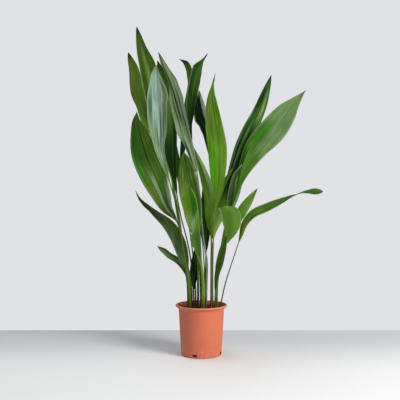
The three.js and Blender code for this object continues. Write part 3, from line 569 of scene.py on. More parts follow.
class StageSettings(bpy.types.PropertyGroup):
    """Camera and lights"""

    distance: FloatProperty(
        name="Distance", description="From the camera to the pot's axis", default=2.256, unit="LENGTH")
    eye: FloatProperty(
        name="Eye height", description="Height of the camera", default=0.564, unit="LENGTH")
    aside: FloatProperty(
        name="Aside", description="Camera's place left or right of the pot's axis", default=-0.005,
        unit="LENGTH")
    lens: FloatProperty(
        name="Lens", description="Focal length in millimetres on a 36 mm sensor", default=55.35)
    floor_reach: FloatProperty(
        name="Floor reach", description="How far the floor goes on behind the pot", default=0.413,
        unit="LENGTH")


# ---------------------------------------------------------------- materials


class Socket:
    """A number that a material works out. Sums, products and powers of these add their Math nodes."""

    def __init__(self, paint, socket):
        self.paint = paint
        self.socket = socket

    def math(self, operation, *values):
        inputs = dict(enumerate(values))
        return self.paint.node("ShaderNodeMath", {"operation": operation}, inputs)

    def __add__(self, other):
        return self.math("ADD", self, other)

    __radd__ = __add__

    def __sub__(self, other):
        return self.math("SUBTRACT", self, other)

    def __rsub__(self, other):
        return self.math("SUBTRACT", other, self)

    def __mul__(self, other):
        return self.math("MULTIPLY", self, other)

    __rmul__ = __mul__

    def __pow__(self, other):
        return self.math("POWER", self, other)

    def __abs__(self):
        return self.math("ABSOLUTE", self)

    def at_least(self, least):
        return self.math("MAXIMUM", self, least)

    def step(self, start, end):
        """From 0 at start to 1 at end, smoothly."""
        ends = {"Value": self, "From Min": start, "From Max": end}
        return self.paint.node("ShaderNodeMapRange", {"interpolation_type": "SMOOTHSTEP"}, ends)


class Paint:
    """A material while its nodes are laid."""

    def __init__(self, name):
        self.material = bpy.data.materials.new(name)
        self.material.use_nodes = True
        self.tree = self.material.node_tree
        self.tree.nodes.clear()
        self.shader = self.tree.nodes.new("ShaderNodeBsdfPrincipled")
        output = self.tree.nodes.new("ShaderNodeOutputMaterial")
        self.tree.links.new(self.shader.outputs[0], output.inputs[0])

    def node(self, kind, settings, inputs, output=0):
        """Adds a node: its settings first, then its sockets' values or links. Gives one output."""
        made = self.tree.nodes.new(kind)
        for name, value in settings.items():
            setattr(made, name, value)
        for key, value in inputs.items():
            self.feed(made.inputs[key], value)
        return Socket(self, made.outputs[output])

    def feed(self, socket, value):
        if isinstance(value, Socket):
            self.tree.links.new(value.socket, socket)
        elif isinstance(value, (list, tuple)) and len(socket.default_value) == 4:
            socket.default_value = (*value, 1)
        else:
            socket.default_value = value

    def set(self, name, value):
        """Feeds one of the shader's own sockets."""
        self.feed(self.shader.inputs[name], value)

    def attribute(self, name):
        return self.node("ShaderNodeAttribute", {"attribute_name": name}, {}, "Fac")

    def place(self):
        """Object coordinates, in metres."""
        return self.node("ShaderNodeTexCoord", {}, {}, "Object")

    def part_of(self, vector, axis):
        return self.node("ShaderNodeSeparateXYZ", {}, {"Vector": vector}, axis)

    def vector(self, x, y, z):
        return self.node("ShaderNodeCombineXYZ", {}, {"X": x, "Y": y, "Z": z})

    def noise(self, vector, scale, detail=2, roughness=0.5):
        inputs = {"Vector": vector, "Scale": scale, "Detail": detail, "Roughness": roughness}
        return self.node("ShaderNodeTexNoise", {}, inputs)

    def blend(self, share, first, second):
        """One colour changing into another."""
        return self.node("ShaderNodeMix", {"data_type": "RGBA"}, {0: share, 6: first, 7: second}, 2)

    def shade(self, colour, amount):
        """A colour made darker or lighter by a number near 1."""
        grey = self.vector(amount, amount, amount)
        settings = {"data_type": "RGBA", "blend_type": "MULTIPLY"}
        return self.node("ShaderNodeMix", settings, {0: 1.0, 6: colour, 7: grey}, 2)

    def bump(self, height, depth):
        inputs = {"Height": height, "Distance": depth}
        self.set("Normal", self.node("ShaderNodeBump", {}, inputs))


def leaf_halves(paint, look, right, far):
    """The left and right halves' greens, each changing from the stem's end to the tip's. They carry painted
    light and shade: a half turned to the light is painted lighter, one in shade darker.
    """
    left_half = paint.blend(far, *map(linear, look["left"]))
    right_half = paint.blend(far, *map(linear, look["right"]))
    return paint.blend(right, left_half, right_half)


def leaf_tone_and_light_patches(paint, look, colour, across, along, veins):
    """Lays areas of another colour over a blade's colour, with soft edges that the veins fray. Pale ones are
    painted highlights, dark ones painted shade, green ones partly the leaf's own tone.
    """
    for code, middle, lean, reach, start, end in look.get("tone_and_light_patches", ()):
        off_middle = abs(across - (along - (start + end) / 2) * lean - middle)
        beside = 1 - off_middle.step(reach / 2, reach)
        within = along.step(start - 0.1, start + 0.1) * (1 - along.step(end - 0.1, end + 0.1))
        colour = paint.blend(beside * within * (0.6 + veins * 0.6), colour, linear(code))
    return colour


def leaf_paint(name, leaf, look, vein):
    """A leaf's skin: two halves of their own green, which carry painted light and shade, lengthwise
    stripes of painted sheen and of its own tone, veins along it, areas of another colour among which are
    painted highlights and painted shade, edges painted pale as a highlight, a pale midrib on the upper
    face, a duller underside, and a stem that browns where it leaves the soil."""
    paint = Paint(f"{name}_skin")
    across = paint.attribute("across")
    along = paint.attribute("along")
    under = paint.attribute("under")
    height = paint.part_of(paint.place(), "Z")
    seed = leaf["root"][0] * 0.37 + leaf["root"][1] * 0.61
    blade = leaf["blade"]
    half_width = leaf["width"] / 2
    lengthwise = paint.vector(across * (half_width / STREAK_WIDTH), along * (blade / STREAK_LENGTH), seed)
    fine = paint.vector(across * half_width, along * (blade / VEIN_LENGTH), seed)
    broad = paint.vector(across * 1.4, along * (blade / CLOUD_LENGTH), seed + 5)
    bands = paint.noise(lengthwise, 1.0, 2, 0.6)
    veins = paint.noise(fine, 1.1, 2, 0.7)
    clouds = paint.noise(broad, 1.0, 2)

    right = across.step(-0.08, 0.08)
    # The halves' greens carry painted light and shade: a half turned to the light is painted lighter.
    colour = leaf_halves(paint, look, right, along.step(0.3, 0.75))
    # Lengthwise stripes: pale ones are painted sheen standing for the gloss's reflection, green ones the
    # leaf's own tone.
    onset = 0.66 - 0.24 * look["streaks_and_sheen"]
    streaks_and_sheen = bands.step(onset, onset + 0.14) * (0.3 + 0.7 * clouds.step(0.3, 0.6))
    colour = paint.blend(streaks_and_sheen * look["streaks_and_sheen"], colour, linear(look["streak_and_sheen"]))
    # Areas of another colour: pale ones are painted highlights, dark ones painted shade.
    colour = leaf_tone_and_light_patches(paint, look, colour, across, along, veins)
    lined = look["streaks_and_sheen"] * 0.6
    colour = paint.shade(colour, clouds * 0.5 + veins * (0.35 + lined) + bands * 0.75 - 0.04 - lined / 2)
    # Pale edges: a painted highlight where the edges catch the light.
    left_highlight, right_highlight = look.get("edge_highlight", (0, 0))
    edge_highlights = left_highlight * (1 - right) + right_highlight * right
    colour = paint.blend(abs(across).step(0.8, 0.93) * edge_highlights, colour, linear(HIGHLIGHT_GREEN))
    colour = paint.blend(along.step(0.9, 0.99), colour, linear(look["tip"]))
    on_blade = along.step(0.0, 0.15)
    rib = (1 - abs(across * half_width).step(*RIB_EDGE)) * on_blade
    colour = paint.blend(rib * (0.5 - along * 0.4), colour, linear(RIB))
    colour = paint.blend(under * on_blade * 0.5, colour, linear(look.get("back", UNDERSIDE)))
    stem = paint.shade(linear(look["stem"]), veins * 0.5 + bands * 0.9 + clouds * 0.3)
    colour = paint.blend(1 - along.step(-0.06, 0.12), colour, stem)
    dry = (1 - height.step(*DRY_HEIGHTS)) * (0.4 + veins * 0.6)
    colour = paint.blend(dry, colour, linear(BARK))

    paint.set("Base Color", colour)
    paint.set("Roughness", 0.66 - look["shine"] * 0.35 + veins * 0.12 + under * 0.12)
    paint.set("Specular IOR Level", 0.1)
    paint.bump(veins + rib * -0.6, vein)
    return paint.material


def pot_paint(colour, dust_and_highlight):
    """Satin terracotta plastic: faintly clouded, with painted shade inside its wall, a painted highlight
    with scuffs along its bead, and dried splashes at the foot.
    """
    paint = Paint("pot_plastic_skin")
    place = paint.place()
    height = paint.part_of(place, "Z")
    radius = (paint.part_of(place, "X") ** 2 + paint.part_of(place, "Y") ** 2) ** 0.5
    clouds = paint.noise(place, 14, 3)
    grain = paint.noise(place, 900, 2)
    specks = paint.noise(place, 160, 2, 0.7)
    red, green, blue = colour
    skin = paint.blend(clouds.step(0.3, 0.75) * 0.35, list(colour), [c * 0.82 for c in colour])
    neck = POT_HIGH.z - LIP_HEIGHT * MM
    slope = (NECK_RADIUS - FOOT_RADIUS) * MM / neck
    wall = FOOT_RADIUS * MM + height * slope + (height - neck).at_least(0) * LIP_SPREAD
    # Painted shade: the inside of the wall is painted darker and redder, where light hardly reaches.
    inside = 1 - (radius - wall).step(WALL * MM * -0.8, WALL * MM * -0.3)
    skin = paint.blend(inside, skin, [red * 0.45, green * 0.2, blue * 0.15])
    splash = height.step(SPLASH_TOP, 0.0) * specks.step(0.5, 0.68) * 0.5
    skin = paint.blend(splash, skin, list(dust_and_highlight))
    # Painted highlight along the bead, lighter in flecks that stand for scuffs, in the dust colour.
    bead = height.step(POT_HIGH.z - HIGHLIGHT_AND_SCUFF_HEIGHT * MM, POT_HIGH.z)
    skin = paint.blend(bead * (0.25 + specks.step(0.45, 0.6) * 0.3), skin, list(dust_and_highlight))
    paint.set("Base Color", skin)
    paint.set("Roughness", 0.4 + clouds * 0.14 + splash * 0.3)
    paint.bump(grain * 0.5 + clouds, 0.12 * MM)
    return paint.material


def soil_paint(name, dark, light):
    """Damp bark mix: dark brown with lighter fibres and grains."""
    paint = Paint(name)
    place = paint.place()
    lumps = paint.noise(place, 130, 4, 0.65)
    grains = paint.noise(place, 700, 3, 0.7)
    colour = paint.blend(lumps.step(0.45, 0.7) * 0.5, list(dark), list(light))
    colour = paint.shade(colour, 0.55 + grains * 0.9)
    paint.set("Base Color", colour)
    paint.set("Roughness", 0.9 + grains * 0.1)
    paint.bump(lumps + grains * 0.6, 1.2 * MM)
    return paint.material


# ---------------------------------------------------------------- shared steps of modelling


def start_clean():
    """Object mode, with nothing selected."""
    if bpy.context.mode != "OBJECT":
        bpy.ops.object.mode_set(mode="OBJECT")
    bpy.ops.object.select_all(action="DESELECT")


def only(piece):
    """Makes a piece the only one selected, and the active one."""
    start_clean()
    piece.select_set(True)
    bpy.context.view_layer.objects.active = piece


def new_piece(name, mesh):
    piece = bpy.data.objects.new(name, mesh)
    bpy.context.scene.collection.objects.link(piece)
    return piece


def settle(piece, name, material, replaced=None):
    """Names a finished piece, gives it its finish and ties it to the model."""
    only(piece)
    bpy.ops.object.transform_apply(location=True, rotation=True, scale=True)
    piece.name = name
    piece.data.name = name
    piece.data.materials.clear()
    piece.data.materials.append(material)
    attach(piece, "root")
    if replaced:
        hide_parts(replaced)
    start_clean()


# ---------------------------------------------------------------- pot


def arc(radius, height, size, start, end, steps):
    """Points of an arc in the pot's profile, angles in degrees."""
    angles = [math.radians(start + (end - start) * i / steps) for i in range(steps + 1)]
    return [(radius + size * math.cos(a), height + size * math.sin(a)) for a in angles]


def inside_radius(height, pot_height):
    """The pot's inside radius at a height in millimetres, below the lip."""
    slope = (NECK_RADIUS - FOOT_RADIUS) / (pot_height - LIP_HEIGHT)
    return FOOT_RADIUS - WALL + slope * height


def flare(neck, steps):
    """The lip's underside: a curve that swings out from the neck towards the bead."""
    shares = [i / steps for i in range(steps + 1)]
    return [(NECK_RADIUS + FLARE_OUT * t ** FLARE_CURVE, neck + FLARE_HEIGHT * t) for t in shares]


def pot_profile(height, rim_radius):
    """The pot's half section in millimetres, from under the middle of its floor to the top of it."""
    neck = height - LIP_HEIGHT
    inner_neck = inside_radius(neck, height)
    inner_foot = inside_radius(FLOOR, height)
    return [
        (0, 0),
        (FOOT_RADIUS - FOOT_FLAT, 0),
        *arc(FOOT_RADIUS - WALL, WALL, WALL, -90, 0, 5),
        ((FOOT_RADIUS + NECK_RADIUS) / 2, neck / 2),
        *flare(neck, 7),
        *arc(rim_radius - BEAD, height - BEAD, BEAD, *BEAD_ARC, 12),
        *arc(MOUTH_RADIUS + MOUTH_BEND, height - MOUTH_DROP, MOUTH_BEND, *MOUTH_ARC, 3),
        (MOUTH_RADIUS - LIP_HOLLOW[0], height - LIP_HOLLOW[1]),
        (inner_neck + NECK_STEP[0], neck + NECK_STEP[1]),
        (inner_neck, neck),
        *arc(inner_foot - FLOOR_BEND, FLOOR + FLOOR_BEND, FLOOR_BEND, 0, -90, 4),
        (0, FLOOR),
    ]


class PLANT_OT_make_pot(bpy.types.Operator):
    """Turn the pot from its profile and cut its drain holes"""

    bl_idname = "plant.make_pot"
    bl_label = "Pot"

    def execute(self, context):
        settings = context.scene.plant_pot
        start_clean()
        profile = pot_profile(settings.height / MM, settings.rim_radius / MM)
        mesh = bpy.data.meshes.new("pot_fine")
        corners = [(radius * MM, 0, height * MM) for radius, height in profile]
        mesh.from_pydata(corners, [(i, i + 1) for i in range(len(corners) - 1)], [])
        pot = new_piece("pot_fine", mesh)
        only(pot)
        bpy.ops.object.mode_set(mode="EDIT")
        bpy.ops.mesh.select_all(action="SELECT")
        bpy.ops.mesh.spin(steps=settings.sides, angle=math.tau, center=(0, 0, 0), axis=(0, 0, 1))
        bpy.ops.mesh.select_all(action="SELECT")
        bpy.ops.mesh.remove_doubles(threshold=0.01 * MM)
        bpy.ops.mesh.normals_make_consistent(inside=False)
        bpy.ops.object.mode_set(mode="OBJECT")
        for i in range(DRAINS):
            self.cut_drain(pot, math.radians(DRAIN_ANGLE) + math.tau * i / DRAINS)
        only(pot)
        bpy.ops.object.shade_smooth_by_angle(angle=math.radians(POT_CREASE))
        settle(pot, "pot_fine", pot_paint(settings.colour, settings.dust_and_highlight), "pot")
        return {"FINISHED"}

    def cut_drain(self, pot, angle):
        """Cuts a window with rounded edges through the foot of the wall."""
        start_clean()
        size = [s * MM for s in DRAIN_SIZE]
        centre = Vector((FOOT_RADIUS * MM, 0, DRAIN_LOW * MM + size[2] / 2))
        bpy.ops.mesh.primitive_cube_add(size=1, location=(0, 0, 0))
        cutter = bpy.context.active_object
        cutter.data.transform(Matrix.Diagonal((*size, 1)))
        for corner in cutter.data.vertices:
            corner.co += centre
            corner.co.rotate(Quaternion((0, 0, 1), angle))
        only(cutter)
        bpy.ops.object.mode_set(mode="EDIT")
        bpy.ops.mesh.select_all(action="SELECT")
        bpy.ops.mesh.bevel(offset=DRAIN_BEVEL * MM, segments=2)
        bpy.ops.object.mode_set(mode="OBJECT")
        only(pot)
        cut = pot.modifiers.new("drain", "BOOLEAN")
        cut.object = cutter
        cut.operation = "DIFFERENCE"
        cut.solver = "EXACT"
        bpy.ops.object.modifier_apply(modifier=cut.name)
        bpy.data.objects.remove(cutter)


# ---------------------------------------------------------------- soil


def soil_height(x, y):
    """Height of the soil's face, in millimetres."""
    long = math.sin(x / LONG_WAVE + 1) * math.cos(y / LONG_WAVE)
    short = math.sin((x + y) / SHORT_WAVE) * math.cos((y - x / 2) / SHORT_WAVE)
    mound = SOIL_MOUND * max(1 - (x * x + y * y) / MOUND_RADIUS ** 2, 0)
    return SOIL_EDGE + mound + SOIL_BUMP / 2 * (long + short)


class PLANT_OT_make_soil(bpy.types.Operator):
    """Make the soil's crumbly face and the body below it"""

    bl_idname = "plant.make_soil"
    bl_label = "Soil"

    def execute(self, context):
        settings = context.scene.plant_soil
        pot_height = context.scene.plant_pot.height / MM
        start_clean()
        bpy.ops.mesh.primitive_grid_add(x_subdivisions=SOIL_STEPS, y_subdivisions=SOIL_STEPS, size=2)
        soil = bpy.context.active_object
        edge = inside_radius(SOIL_EDGE, pot_height) - SOIL_GAP
        for corner in soil.data.vertices:
            self.shape_face(corner, edge, settings.crumb / MM)
        only(soil)
        bpy.ops.object.mode_set(mode="EDIT")
        bpy.ops.mesh.select_all(action="SELECT")
        bpy.ops.mesh.region_to_loop()
        bpy.ops.mesh.extrude_region_move()
        bpy.ops.object.mode_set(mode="OBJECT")
        shrink = (inside_radius(FLOOR, pot_height) - SOIL_FOOT_GAP) / edge
        for corner in soil.data.vertices:
            if corner.select:
                corner.co = (corner.co.x * shrink, corner.co.y * shrink, SOIL_LOW.z)
        bpy.ops.object.mode_set(mode="EDIT")
        bpy.ops.mesh.edge_face_add()
        bpy.ops.mesh.select_all(action="SELECT")
        bpy.ops.mesh.normals_make_consistent(inside=False)
        bpy.ops.object.mode_set(mode="OBJECT")
        bpy.ops.object.shade_smooth_by_angle(angle=math.radians(SOIL_CREASE))
        finish = soil_paint("soil_skin", settings.colour, settings.chip)
        settle(soil, "soil_fine", finish, "soil")
        return {"FINISHED"}

    def shape_face(self, corner, edge, crumb):
        """Moves a corner of the square grid onto the soil's round face."""
        u, v = corner.co.x, corner.co.y
        x = u * math.sqrt(1 - v * v / 2) * edge
        y = v * math.sqrt(1 - u * u / 2) * edge
        coarse = noise.fractal(Vector((x, y, 7)) / LUMP_SIZE, 1, 2, 3)
        sharp = noise.noise(Vector((x, y, 3)) / GRAIN_SIZE)
        corner.co = Vector((x, y, soil_height(x, y) + crumb * (0.7 * coarse + 0.5 * sharp))) * MM


class PLANT_OT_make_soil_bits(bpy.types.Operator):
    """Scatter bark chips and a few pale grains over the soil"""

    bl_idname = "plant.make_soil_bits"
    bl_label = "Soil bits"

    def execute(self, context):
        settings = context.scene.plant_soil
        draw = random.Random(BITS_DRAW)
        bark = soil_paint("bark_skin", settings.colour, settings.chip)
        pale = soil_paint("grain_skin", linear(0x9b8a6a), linear(0xd8cdb4))
        self.scatter("soil_bark_bits", draw, settings.bits, BARK_SIZES, BARK_FLATNESS, bark)
        self.scatter("soil_pale_bits", draw, PALE_COUNT, PALE_SIZES, PALE_FLATNESS, pale)
        return {"FINISHED"}

    def scatter(self, name, draw, count, sizes, flatness, material):
        """Lays rough bits at random on the soil, as one mesh."""
        start_clean()
        bpy.ops.mesh.primitive_ico_sphere_add(subdivisions=1, radius=1)
        first = bpy.context.active_object
        corners = [v.co.copy() for v in first.data.vertices]
        faces = [list(p.vertices) for p in first.data.polygons]
        bpy.data.objects.remove(first)
        points = []
        polygons = []
        for _ in range(count):
            reach = BITS_REACH * math.sqrt(draw.random())
            turn = draw.uniform(0, math.tau)
            x, y = reach * math.cos(turn), reach * math.sin(turn)
            size = draw.uniform(*sizes)
            stretch = Vector((BIT_LENGTH, 1, flatness)) * size
            spin = Quaternion((0, 0, 1), draw.uniform(0, math.tau))
            tip = Quaternion((1, 0, 0), draw.uniform(-BIT_TILT, BIT_TILT))
            centre = Vector((x, y, soil_height(x, y) + size * flatness * BIT_STANDS))
            start = len(points)
            for corner in corners:
                rough = corner * draw.uniform(*BIT_ROUGHNESS)
                local = Vector(a * b for a, b in zip(rough, stretch))
                points.append((centre + spin @ (tip @ local)) * MM)
            polygons += [[start + i for i in face] for face in faces]
        mesh = bpy.data.meshes.new(name)
        mesh.from_pydata(points, [], polygons)
        settle(new_piece(name, mesh), name, material)


# ---------------------------------------------------------------- leaves

ACROSS_STEPS = 13
STEM_RINGS = 22
BLADE_RINGS = 79
CURVE_STEPS = 60
MIDLINE_STEPS = 600
STEM_ANGLE = 84
CROWDING = 1.3


def spread(steps):
    """Places across a blade from -1 to 1, closer together at the midrib."""
    shares = [i / (steps - 1) for i in range(steps)]
    right = [share ** CROWDING for share in shares]
    return [-r for r in reversed(right[1:])] + right


ACROSS = spread(ACROSS_STEPS)


def smooth_curve(stops, steps):
    """Points close together on the centripetal curve through some stops."""
    ends = [stops[0] * 2 - stops[1], *stops, stops[-1] * 2 - stops[-2]]
    points = []
    for a, b, c, d in zip(ends, ends[1:], ends[2:], ends[3:]):
        first, second, third = [(q - p).length ** 0.5 for p, q in ((a, b), (b, c), (c, d))]
        leave = ((b - a) / first - (c - a) / (first + second) + (c - b) / second) * second
        arrive = ((c - b) / second - (d - b) / (second + third) + (d - c) / third) * second
        for i in range(steps):
            t = i / steps
            square = t * t
            cube = square * t
            points.append(
                b * (2 * cube - 3 * square + 1) + leave * (cube - 2 * square + t)
                + c * (3 * square - 2 * cube) + arrive * (cube - square))
    points.append(stops[-1].copy())
    return points


class Midline:
    """A leaf's midline, with its direction and side carried along it without turning about it."""

    def __init__(self, leaf):
        stops = [Vector((*leaf["root"], ROOT_HEIGHT))] + [Vector(p) for p in leaf["path"]]
        points = smooth_curve(stops, CURVE_STEPS)
        reached = [0.0]
        for p, q in zip(points, points[1:]):
            reached.append(reached[-1] + (q - p).length)
        self.length = reached[-1]
        self.places = []
        j = 0
        for i in range(MIDLINE_STEPS + 1):
            goal = self.length * i / MIDLINE_STEPS
            while j < len(points) - 2 and reached[j + 1] < goal:
                j += 1
            share = (goal - reached[j]) / (reached[j + 1] - reached[j])
            self.places.append(points[j].lerp(points[j + 1], min(share, 1)))
        self.directions = []
        self.sides = []
        side = Vector((1, 0, 0))
        last = MIDLINE_STEPS
        for i in range(MIDLINE_STEPS + 1):
            direction = (self.places[min(i + 2, last)] - self.places[max(i - 2, 0)]).normalized()
            side = (side - direction * side.dot(direction)).normalized()
            self.directions.append(direction)
            self.sides.append(side)

    def at(self, share):
        """The place, direction and side at a share of the midline."""
        spot = min(max(share, 0), 1) * MIDLINE_STEPS
        i = min(int(spot), MIDLINE_STEPS - 1)
        rest = spot - i
        place = self.places[i].lerp(self.places[i + 1], rest)
        direction = self.directions[i].lerp(self.directions[i + 1], rest).normalized()
        side = self.sides[i].lerp(self.sides[i + 1], rest)
        return place, direction, (side - direction * side.dot(direction)).normalized()


def smoothstep(value, start, end):
    """From 0 at start to 1 at end, smoothly."""
    share = min(max((value - start) / (end - start), 0), 1)
    return share * share * (3 - 2 * share)


def outline(leaf, share):
    """Half the blade's width at a share of its length, as part of its greatest half width."""
    widest, taper = leaf["widest"], leaf["taper"]
    rise = (share / widest) ** (widest * taper)
    fall = ((1 - share) / (1 - widest)) ** ((1 - widest) * taper)
    return rise * fall


def near(distance, width):
    """1 on a line, and fading to nothing within about twice a width of it."""
    return math.exp(-((distance / width) ** 2))


def trimmed(leaf, share, hand):
    """How much wider or narrower than its outline the left (1) or right (2) half is at a share."""
    stops = [(0, 1, 1), *leaf.get("trim", ())]
    for before, after in zip(stops, stops[1:]):
        if share <= after[0]:
            return before[hand] + (after[hand] - before[hand]) * smoothstep(share, before[0], after[0])
    return stops[-1][hand]


def section_point(across, half_width, fold, curl):
    """One place on half a blade's section: an arc that leaves the midrib at the fold and then bends."""
    reach = abs(across)
    bend = fold + curl * reach
    if abs(curl) > 1e-6:
        out = (math.sin(bend) - math.sin(fold)) / curl
        up = (math.cos(fold) - math.cos(bend)) / curl
    else:
        out = reach * math.cos(fold)
        up = reach * math.sin(fold)
    hand = math.copysign(1, across) if across else 0
    return hand * out * half_width, up * half_width, hand * bend


def section(leaf, blade_share, fine, seed):
    """The closed loop of points round a leaf at one station: its upper face, then its lower one."""
    in_blade = max(blade_share, 0)
    stem_share = max(-blade_share, 0)
    neck = leaf["stem"] * STEM_NECK
    rib = max(neck + (leaf["stem"] - neck) * stem_share - neck * in_blade * RIB_FADES, TIP_RADIUS)
    blade_half = leaf["width"] / 2 * (outline(leaf, in_blade) if in_blade > 0 else 0)
    halves = [math.hypot(rib, blade_half * trimmed(leaf, in_blade, hand)) for hand in (1, 2)]
    flat = smoothstep(in_blade, 0, BLADE_FLATTENS_BY)
    fold = math.radians(leaf["fold"])
    curls = [math.radians(curl) for curl in leaf.get("curl", (0, 0))]
    middle = math.sin(math.pi * in_blade)
    ripple = leaf["wave"] * math.sin(in_blade * EDGE_WAVES + leaf["root"][0]) * middle
    upper = []
    lower = []
    for across in ACROSS:
        hand = 0 if across < 0 else 1
        half_width = halves[hand]
        angle = math.radians(90 - STEM_ANGLE * across)
        x, z, tilt = section_point(across, half_width, fold, curls[hand])
        spot = Vector((across * WANDER_ACROSS, in_blade * leaf["blade"] / WANDER_LENGTH, seed))
        wander = noise.noise(spot) * middle
        pleat = math.cos(across * leaf["width"] / PLEAT_PITCH) * (1 - across * across) * middle ** 0.5
        raised = z + ripple * across ** 2 + (fine.uneven * wander + fine.pleat * pleat) / MM
        from_rib = across * half_width
        channel = fine.groove / MM * near(from_rib, GROOVE_WIDTH) * (1 - GROOVE_FADES * in_blade)
        ridge = rib * RIDGE_HEIGHT * near(from_rib, rib + RIDGE_EDGE) * (1 - in_blade)
        skin = fine.thickness / MM / 2 * (1 - EDGE_THINS * across ** 8)
        for row, face in ((upper, 1), (lower, -1)):
            groove = rib * STEM_GROOVE * near(across, STEM_GROOVE_REACH) if face > 0 else 0
            round_x = half_width * math.cos(angle)
            round_z = face * rib * math.sin(angle) - groove
            flat_x = x - face * skin * math.sin(tilt)
            flat_z = raised + face * skin * math.cos(tilt) - (channel if face > 0 else ridge)
            row.append((round_x + (flat_x - round_x) * flat, round_z + (flat_z - round_z) * flat))
    return upper + lower[::-1]


def ring_shares(leaf, length):
    """The leaf's rings: share of the midline, and share of the blade, which is below 0 on the stem."""
    stem_length = length - leaf["blade"]
    rings = []
    for i in range(STEM_RINGS):
        share = i / STEM_RINGS
        rings.append((stem_length * share / length, share - 1))
    for i in range(BLADE_RINGS + 1):
        share = i / BLADE_RINGS
        rings.append(((stem_length + leaf["blade"] * share) / length, share))
    return rings


def leaf_tube():
    """A plain tube with a ring of corners for each of a leaf's stations, to be shaped into a leaf."""
    rings = STEM_RINGS + BLADE_RINGS + 1
    start_clean()
    bpy.ops.mesh.primitive_cylinder_add(vertices=len(ACROSS) * 2, radius=1, depth=rings - 1)
    tube = bpy.context.active_object
    bpy.ops.object.mode_set(mode="EDIT")
    bpy.ops.mesh.select_mode(type="EDGE")
    bpy.ops.mesh.select_all(action="DESELECT")
    bpy.ops.object.mode_set(mode="OBJECT")
    corners = tube.data.vertices
    for edge in tube.data.edges:
        low, high = [corners[i].co.z for i in edge.vertices]
        edge.select = abs(high - low) > 1
    bpy.ops.object.mode_set(mode="EDIT")
    bpy.ops.mesh.subdivide(number_cuts=rings - 2)
    bpy.ops.object.mode_set(mode="OBJECT")
    return tube


def shape_leaf(mesh, leaf, fine):
    """Moves a tube's corners onto a leaf's skin, and notes at each where on the leaf it is."""
    around = len(ACROSS) * 2
    midline = Midline(leaf)
    rings = ring_shares(leaf, midline.length)
    seed = leaf["root"][0] + leaf["root"][1] * 1.7
    loops = []
    for share, blade_share in rings:
        place, direction, side = midline.at(share)
        roll = math.radians(leaf["turn"] + leaf.get("twist", 0) * max(blade_share, 0) ** 3)
        right = Quaternion(direction, -roll) @ side
        up = right.cross(direction)
        points = section(leaf, blade_share, fine, seed)
        loops.append([(place + right * x + up * z) * MM for x, z in points])
    places = []
    notes = {"across": [], "along": [], "under": []}
    for corner in mesh.vertices:
        ring = round(corner.co.z + (len(rings) - 1) / 2)
        turn = math.atan2(corner.co.y, corner.co.x) / math.tau * around
        index = round(turn) % around
        places.append(loops[ring][index])
        upper = index < len(ACROSS)
        notes["across"].append(ACROSS[index] if upper else ACROSS[around - 1 - index])
        notes["along"].append(rings[ring][1])
        notes["under"].append(0.0 if upper else 1.0)
    for corner, place in zip(mesh.vertices, places):
        corner.co = place
    for name, values in notes.items():
        mesh.attributes.new(name, "FLOAT", "POINT").data.foreach_set("value", values)


def make_leaves(prefix):
    """Makes every leaf whose name starts so."""
    fine = bpy.context.scene.plant_leaf
    tube = leaf_tube()
    for name, leaf in LEAVES.items():
        if name.startswith(prefix):
            piece = new_piece(f"{name}_fine", tube.data.copy())
            shape_leaf(piece.data, leaf, fine)
            only(piece)
            bpy.ops.object.shade_smooth_by_angle(angle=math.radians(LEAF_CREASE))
            skin = leaf_paint(name, leaf, LOOKS[name], fine.vein)
            settle(piece, f"{name}_fine", skin, name)
    bpy.data.objects.remove(tube)


class PLANT_OT_make_left_leaves(bpy.types.Operator):
    """Make the leaves that lean to the left"""

    bl_idname = "plant.make_left_leaves"
    bl_label = "Left leaves"

    def execute(self, context):
        make_leaves("leaf_left_")
        return {"FINISHED"}


class PLANT_OT_make_middle_leaves(bpy.types.Operator):
    """Make the leaves that stand in the middle"""

    bl_idname = "plant.make_middle_leaves"
    bl_label = "Middle leaves"

    def execute(self, context):
        make_leaves("leaf_middle_")
        return {"FINISHED"}


class PLANT_OT_make_right_leaves(bpy.types.Operator):
    """Make the leaves that lean to the right"""

    bl_idname = "plant.make_right_leaves"
    bl_label = "Right leaves"

    def execute(self, context):
        make_leaves("leaf_right_")
        return {"FINISHED"}


class PLANT_OT_make_front_leaves(bpy.types.Operator):
    """Make the leaves at the front"""

    bl_idname = "plant.make_front_leaves"
    bl_label = "Front leaves"

    def execute(self, context):
        make_leaves("leaf_front_")
        return {"FINISHED"}


class PLANT_OT_make_back_leaves(bpy.types.Operator):
    """Make the leaves at the back"""

    bl_idname = "plant.make_back_leaves"
    bl_label = "Back leaves"

    def execute(self, context):
        make_leaves("leaf_back_")
        return {"FINISHED"}


# ---------------------------------------------------------------- stage


def area_light(name, place, size, power, colour):
    """A soft square light at a place, facing the plant."""
    data = bpy.data.lights.new(name, "AREA")
    data.shape = "SQUARE"
    data.size = size
    data.energy = power
    data.color = colour
    light = bpy.data.objects.new(name, data)
    bpy.context.scene.collection.objects.link(light)
    light.location = place
    light.rotation_euler = (Vector(LIGHTS_AIM) - Vector(place)).to_track_quat("-Z", "Y").to_euler()


def pale_room():
    """A pale room all round, dimmer as a light than it looks, so that the plant keeps its shadows."""
    world = bpy.data.worlds.new("pale_room")
    world.use_nodes = True
    nodes = world.node_tree.nodes
    background = nodes["Background"]
    background.inputs["Color"].default_value = (*linear(0xe1e2e5), 1)
    seen = nodes.new("ShaderNodeLightPath")
    strength = nodes.new("ShaderNodeMapRange")
    strength.inputs["To Min"].default_value = ROOM_GLOW
    strength.inputs["To Max"].default_value = 1.0
    world.node_tree.links.new(seen.outputs["Is Camera Ray"], strength.inputs["Value"])
    world.node_tree.links.new(strength.outputs["Result"], background.inputs["Strength"])
    return world


